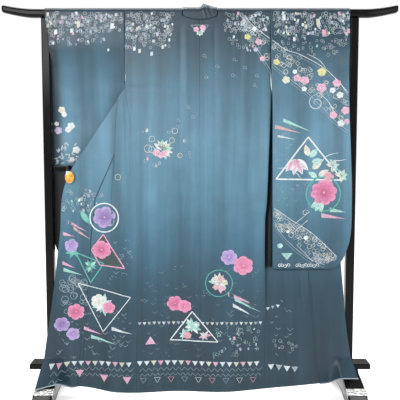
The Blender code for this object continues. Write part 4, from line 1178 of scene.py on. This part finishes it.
def paint_right_sleeve(paint, rng):
    """The near side of the right sleeve."""
    confetti(paint, rng, (0.312, 1.590), (0.632, 1.680), 230)
    confetti(paint, rng, (0.330, 1.500), (0.632, 1.590), 60)
    for x, z, size, tint in ((0.355, 1.660, 0.012, WHITE), (0.500, 1.642, 0.013, CREAM),
                             (0.525, 1.594, 0.015, PINK), (0.448, 1.622, 0.009, CREAM),
                             (0.398, 1.568, 0.009, WHITE), (0.628, 1.603, 0.010, PINK)):
        paint.shape([(x - 0.55 * size, z - size), (x + 0.6 * size, z - size), (x + 0.55 * size, z + size),
                     (x - 0.6 * size, z + size)], tint, toward(tint, SILVER, 0.25), 1, 2)
    ribbon(paint, rng, [(0.305, 1.564), (0.363, 1.522), (0.427, 1.500), (0.534, 1.437), (0.628, 1.342)],
           [(0.305, 1.462), (0.384, 1.396), (0.449, 1.346), (0.513, 1.283), (0.568, 1.228), (0.630, 1.182)],
           [(0.322, 1.471, 0.014, YELLOW), (0.363, 1.396, 0.017, CREAM), (0.410, 1.404, 0.016, PINK),
            (0.442, 1.394, 0.019, PINK), (0.513, 1.429, 0.019, YELLOW), (0.513, 1.363, 0.021, PINK),
            (0.577, 1.383, 0.018, PINK), (0.560, 1.352, 0.013, WHITE), (0.592, 1.333, 0.015, WHITE),
            (0.564, 1.249, 0.017, PINK), (0.616, 1.268, 0.018, PINK), (0.598, 1.214, 0.016, WHITE),
            (0.400, 1.430, 0.010, WHITE), (0.440, 1.358, 0.011, WHITE), (0.622, 1.222, 0.012, PINK)], 96)
    curl(paint, 0.492, 1.300, 0.034, WHITE, 1.5, 1.6, 0.0028)
    for path in ([(0.500, 1.345), (0.545, 1.300), (0.575, 1.240)],
                 [(0.552, 1.420), (0.590, 1.385), (0.628, 1.330)], [(0.450, 1.505), (0.500, 1.480),
                                                                    (0.530, 1.445)]):
        paint.line(smooth_path(path), 0.0024, WHITE, 2, taper=True)
    ticks(paint, rng, (0.32, 1.04), (0.40, 1.22), 16, SILVER)
    ticks(paint, rng, (0.33, 0.86), (0.45, 0.96), 12, SILVER)
    wedge(paint, 0.318, 1.200, 0.432, 1.172, 0.009, SALMON)
    wedge(paint, 0.352, 1.228, 0.470, 1.180, 0.008, MINT)
    wedge(paint, 0.330, 1.160, 0.405, 1.146, 0.005, WHITE)
    triangle = [(0.460, 1.156), (0.325, 0.977), (0.610, 0.973)]
    paint.line(triangle, 0.0062, WHITE, 2, closed=True)
    for x, z, angle, length, tint in ((0.462, 1.075, 1.85, 0.052, CREAM), (0.468, 1.070, 0.85, 0.050, MINT),
                                      (0.476, 1.050, 0.15, 0.052, MINT), (0.480, 1.020, 0.75, 0.055, CREAM),
                                      (0.505, 0.990, 0.55, 0.052, CREAM), (0.500, 0.985, 2.6, 0.045, MINT)):
        leaf(paint, x, z, angle, length, 0.52 * length, WHITE, tint, 3, toward(tint, GREEN, 0.6))
    for angle, tint in ((-2.3, ROSE), (-1.75, PINK), (-1.2, ROSE), (-0.75, WHITE)):
        leaf(paint, 0.412, 1.062, angle, 0.070, 0.032, tint, WHITE, 4, DEEP_ROSE)
    for x, z in ((0.566, 1.034), (0.604, 0.992)):
        for k, angle in enumerate((0.2, 1.1, 2.0, 2.9, -0.7, -1.6)):
            leaf(paint, x, z, angle, 0.030, 0.015, WHITE, (MINT, CREAM)[k % 2], 3, GREEN)
    for path in ([(0.330, 1.024), (0.375, 1.022), (0.412, 1.002), (0.436, 0.974)],
                 [(0.500, 1.030), (0.540, 1.075), (0.590, 1.090)], [(0.548, 1.060), (0.590, 1.056),
                                                                    (0.625, 1.062)]):
        paint.line(smooth_path(path), 0.0030, WHITE, 3, taper=True)
    flower(paint, 0.548, 0.985, 0.024, SALMON, PINK, 5, 0.2, 4)
    paint.line(around(0.528, 0.913, 0.073, 52), 0.0056, TEAL, 6, closed=True)
    for angle in (-2.5, -2.0, -1.5):
        leaf(paint, 0.516, 0.886, angle, 0.052, 0.026, WHITE, MINT, 7, GREEN)
    flower(paint, 0.530, 0.920, 0.057, DEEP_ROSE, PINK, 8, 0.2, 8)
    wedge(paint, 0.556, 0.846, 0.630, 0.834, 0.010, MINT)
    wedge(paint, 0.520, 0.822, 0.628, 0.806, 0.010, PINK)
    ribbon(paint, rng, [(0.318, 0.852), (0.395, 0.800), (0.480, 0.745), (0.560, 0.672), (0.590, 0.640)],
           [(0.318, 0.800), (0.350, 0.740), (0.410, 0.680), (0.480, 0.628), (0.540, 0.606)],
           [(0.378, 0.752, 0.008, CREAM), (0.455, 0.724, 0.009, WHITE), (0.345, 0.690, 0.012, MINT)], 110)
    for path in ([(0.392, 0.770), (0.470, 0.838)], [(0.400, 0.745), (0.462, 0.800)], [(0.430, 0.680),
                                                                                      (0.486, 0.622)],
                 [(0.360, 0.790), (0.402, 0.740)]):
        paint.line(path, 0.0016, WHITE, 1)
    curl(paint, 0.452, 0.832, 0.015, WHITE, 1.3, 0.0, 0.0018)
    paint.shape([(0.350, 0.658), (0.400, 0.658), (0.375, 0.628)], SILVER, MINT, 1, 3)
    for x in (0.345, 0.420, 0.470):
        for k in range(4):
            curl(paint, x + 0.012 * k, 0.603 + 0.003 * (k % 2), 0.009, WHITE, 1.2, 1.5 * k, 0.0026)


def path_at(points, t):
    """A place along a path of points, by its share of the number of points."""
    at = t * (len(points) - 1)
    k = min(int(at), len(points) - 2)
    return tuple(blend(np.array(points[k]), np.array(points[k + 1]), at - k))


def smooth_path(points, steps=40):
    shares = list(range(len(points)))
    at = np.linspace(0, len(points) - 1, steps)
    return np.stack([through(list(zip(shares, [p[k] for p in points])), at) for k in (0, 1)], 1)


def paint_left_sleeve(paint, rng):
    """The lit part of the left sleeve."""
    confetti(paint, rng, (-0.650, 1.600), (-0.330, 1.680), 220)
    confetti(paint, rng, (-0.640, 1.545), (-0.400, 1.600), 40)
    for x, z, size, tint in ((-0.372, 1.625, 0.012, WHITE), (-0.515, 1.632, 0.012, CREAM),
                             (-0.612, 1.600, 0.011, WHITE), (-0.545, 1.605, 0.009, WHITE),
                             (-0.390, 1.525, 0.006, WHITE)):
        scrap(paint, x, z, size, tint)
    for x, z, size, tint in ((-0.600, 1.275, 0.016, CREAM), (-0.590, 1.255, 0.012, WHITE),
                             (-0.562, 1.206, 0.017, WHITE), (-0.618, 1.186, 0.017, LAVENDER),
                             (-0.575, 1.190, 0.014, WHITE), (-0.540, 1.102, 0.017, WHITE),
                             (-0.625, 1.215, 0.010, WHITE), (-0.560, 1.060, 0.012, WHITE)):
        blossom(paint, x, z, size, tint, 2, 7 * x)
    for _ in range(34):
        x, z = rng.uniform(-0.625, -0.530), rng.uniform(1.045, 1.125)
        leaf(paint, x, z, rng.uniform(0, 6), 0.020, 0.006, WHITE, SILVER, 1)


def paint_left_front(paint, rng):
    """The opened left front."""
    paint.line(around(-0.413, 0.810, 0.062, 50), 0.0052, WHITE, 5, closed=True)
    flower(paint, -0.412, 0.812, 0.050, DEEP_PURPLE, LAVENDER, 6, 0.3, 6)
    leaf(paint, -0.515, 0.838, -0.95, 0.070, 0.026, MINT, TEAL, 2, GREEN)
    for x0, z0, x1, z1, tint in ((-0.570, 0.792, -0.488, 0.749, PINK), (-0.548, 0.766, -0.472, 0.715, SALMON),
                                 (-0.592, 0.742, -0.540, 0.727, PINK), (-0.594, 0.616, -0.540, 0.592, PINK),
                                 (-0.590, 0.586, -0.508, 0.561, MINT), (-0.506, 0.328, -0.424, 0.297, PINK),
                                 (-0.476, 0.290, -0.362, 0.257, MINT), (-0.384, 0.328, -0.292, 0.305, WHITE)):
        wedge(paint, x0, z0, x1, z1, 0.008, tint, 1)
    flower(paint, -0.555, 0.690, 0.030, PURPLE, LAVENDER, 5, 0.2, 3)
    for angle in (3.6, 4.3, 5.2):
        leaf(paint, -0.545, 0.672, angle, 0.040, 0.016, MINT, TEAL, 2, GREEN)
    fan = [(-0.418, 0.738), (-0.325, 0.592), (-0.433, 0.606), (-0.468, 0.672)]
    paint.shape(fan, (44, 66, 70), (52, 74, 76), 1, 5)
    paint.line(fan, 0.0046, PINK, 3, closed=True)
    flower(paint, -0.424, 0.672, 0.042, DEEP_ROSE, PINK, 6, 0.6, 4)
    green = [(-0.536, 0.660), (-0.474, 0.528), (-0.416, 0.612)]
    paint.line(green, 0.0046, TEAL, 3, closed=True)
    spray(paint, rng, -0.474, 0.600, 0.036, (TEAL, MINT, GREEN), 10, 2)
    for x, z in ((-0.582, 0.500), (-0.548, 0.470), (-0.586, 0.455)):
        paint.line(around(x, z, 0.016, 6), 0.0016, SILVER, 1, closed=True)
    white = [(-0.529, 0.526), (-0.300, 0.466), (-0.423, 0.311)]
    paint.line(white, 0.0034, WHITE, 3, closed=True)
    # Painted shade along the left front's seam, drawn as a dark line.
    for path in ([(-0.368, 1.080), (-0.410, 0.985), (-0.452, 0.890)], [(-0.452, 0.890), (-0.469, 0.741),
                                                                       (-0.500, 0.318), (-0.526, 0.078)]):
        paint.line(path, 0.0034, SEAM_SHADE, 0)
    spray(paint, rng, -0.420, 0.430, 0.056, (MINT, WHITE, LAVENDER), 12, 2)
    flower(paint, -0.440, 0.446, 0.034, CREAM, WHITE, 6, 0.5, 5)
    flower(paint, -0.395, 0.420, 0.028, ROSE, PINK, 5, 0.2, 7)
    flower(paint, -0.539, 0.400, 0.038, DEEP_ROSE, PINK, 6, 0.4, 4)
    flower(paint, -0.600, 0.345, 0.034, DEEP_PURPLE, LAVENDER, 6, 0.1, 4)
    flower(paint, -0.553, 0.302, 0.030, PURPLE, LAVENDER, 5, 0.7, 6)
    confetti(paint, rng, (-0.590, 0.83), (-0.420, 0.93), 46)
    ticks(paint, rng, (-0.40, 0.52), (-0.29, 0.72), 26, SILVER)
    bunting(paint, np.arange(-0.640, -0.295, 0.030), 0.170, 0.0125, (WHITE, PINK, CREAM, WHITE), 0.0)
    for x, z in ((-0.528, 0.125), (-0.318, 0.100), (-0.420, 0.105)):
        bunting(paint, [x], z, 0.019, (PINK,))
    for z, size in ((0.146, 0.014), (0.120, 0.012)):
        zigzag(paint, np.arange(-0.640, -0.285, size), z, 0.55 * size, SILVER)
    ticks(paint, rng, (-0.62, 0.19), (-0.30, 0.46), 80, SILVER)
    for _ in range(26):
        x, z = rng.uniform(-0.600, -0.490), rng.uniform(0.40, 0.55)
        paint.line(around(x, z, rng.uniform(0.008, 0.016), 6, rng.uniform(0, 1)), 0.0014, SILVER, 1,
                   closed=True)


def paint_right_front(paint, rng):
    """The opened right front is almost plain: a short bunting by its side seam and faint ripples."""
    bunting(paint, np.arange(0.312, 0.420, 0.034), 0.168, 0.0145, (WHITE, SILVER), -0.05)
    bunting(paint, np.arange(0.296, 0.350, 0.022), 0.336, 0.0080, (WHITE, SILVER), 0.25)
    # Painted shade along the right front's seam, drawn as a dark line.
    paint.line([(0.4708, 0.575), (0.4900, 0.330), (0.5090, 0.095)], 0.0036, SEAM_SHADE, 0)
    ticks(paint, rng, (0.31, 0.20), (0.40, 0.46), 16, SILVER)
    confetti(paint, rng, (0.300, 0.235), (0.420, 0.270), 10)


def painted_silk(name):
    """Paint on silk: its own colours, mottled, with the weave showing through and a soft satin shine."""
    n = Nodes(name)
    coordinates, _ = place(n)
    paint = n.add("ShaderNodeAttribute", attribute_name="paint")
    mottle = n.add("ShaderNodeTexNoise", {"Vector": coordinates, "Scale": 90.0, "Detail": 4.0})
    shade = n.ramp(mottle.outputs["Fac"], [(0.25, (0.46, 0.48, 0.50, 1)), (0.70, (0.76, 0.78, 0.78, 1))])
    colour = n.add("ShaderNodeMix", {0: 1.0, 6: paint.outputs["Color"], 7: shade}, data_type="RGBA",
                   blend_type="MULTIPLY")
    weave = n.add("ShaderNodeTexWave", {"Vector": coordinates, "Scale": 320.0, "Distortion": 0.6},
                  bands_direction="Z")
    bump = n.add("ShaderNodeBump", {"Strength": 0.10, "Distance": 0.0004, "Height": weave.outputs["Fac"]})
    n.set(Base_Color=colour.outputs[2], Roughness=0.52, Normal=bump.outputs["Normal"], Sheen_Weight=0.12)
    return n.material


def build_motifs(pieces):
    look = painted_silk("painted_motifs")
    jobs = (("body_back_motifs", ["body_left", "body_right"], paint_back),
            ("sleeve_right_motifs", ["sleeve_right"], paint_right_sleeve),
            ("sleeve_left_motifs", ["sleeve_left"], paint_left_sleeve),
            ("front_left_motifs", ["body_left", "overlap_left"], paint_left_front),
            ("front_right_motifs", ["body_right", "overlap_right"], paint_right_front))
    made = {}
    for k, (name, panels, draw) in enumerate(jobs):
        paint = Paint(near_side([pieces[panel] for panel in panels]))
        draw(paint, np.random.default_rng(11 + k))
        made[name] = paint.make(name, look)
        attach(made[name], "root")
    return made


# ---- Room, light and camera ----------------------------------------------------------------------
FLOOR_HALF = 60.0
WORLD_LIGHT = 0.58  # the world's strength as a light; seen directly it is 1
PAPER_GLOW = 0.52  # keeps the floor as white as the world
CAMERA_AT, CAMERA_PITCH = (0.0, -2.70, 1.095), 0.0781
SENSOR, LENS = 36.0, 55.84


def room():
    """A pale floor under a white studio: the world lights the cloth softly and looks white itself."""
    n = Nodes("pale_paper")
    n.set(Base_Color=(0.93, 0.93, 0.93, 1.0), Roughness=0.9, Emission_Color=(1.0, 1.0, 1.0, 1.0),
          Emission_Strength=PAPER_GLOW)
    points = [(-FLOOR_HALF, -FLOOR_HALF, 0), (FLOOR_HALF, -FLOOR_HALF, 0), (FLOOR_HALF, FLOOR_HALF, 0),
              (-FLOOR_HALF, FLOOR_HALF, 0)]
    new_object("studio_floor", points, [(0, 1, 2, 3)], [n.material])
    world = bpy.data.worlds.new("studio")
    bpy.context.scene.world = world
    world.use_nodes = True
    tree = world.node_tree
    seen = tree.nodes.new("ShaderNodeLightPath")
    strength = tree.nodes.new("ShaderNodeMapRange")
    tree.links.new(seen.outputs["Is Camera Ray"], strength.inputs["Value"])
    strength.inputs["To Min"].default_value = WORLD_LIGHT
    strength.inputs["To Max"].default_value = 1.0
    tree.nodes["Background"].inputs["Color"].default_value = (1, 1, 1, 1)
    tree.links.new(strength.outputs["Result"], tree.nodes["Background"].inputs["Strength"])


def area_light(name, place_at, aim, size, power):
    data = bpy.data.lights.new(name, "AREA")
    data.shape = "RECTANGLE"
    data.size, data.size_y = size
    data.energy = power
    light = bpy.data.objects.new(name, data)
    bpy.context.scene.collection.objects.link(light)
    light.location = place_at
    direction = np.array(aim) - np.array(place_at)
    light.rotation_euler = Vector(direction).to_track_quat("-Z", "Y").to_euler()


def lights_and_camera():
    area_light("key", (-1.6, -3.4, 2.6), (0, 0, 0.95), (2.4, 1.8), 105)
    area_light("fill", (2.6, -3.0, 1.8), (0, 0, 0.9), (2.0, 2.0), 34)
    area_light("rear", (0, 0.6, 3.6), (0, 2.4, 1.0), (5.0, 0.8), 150)
    data = bpy.data.cameras.new("view")
    data.sensor_width = SENSOR
    data.lens = LENS
    camera = bpy.data.objects.new("view", data)
    bpy.context.scene.collection.objects.link(camera)
    camera.location = CAMERA_AT
    camera.rotation_euler = (math.pi / 2 - CAMERA_PITCH, 0.0, 0.0)
    bpy.context.scene.camera = camera
    bpy.context.scene.view_settings.view_transform = "Standard"


lights_and_camera()
build_stand()
pieces = build_garment()
motifs = build_motifs(pieces)
room()
bpy.context.view_layer.update()
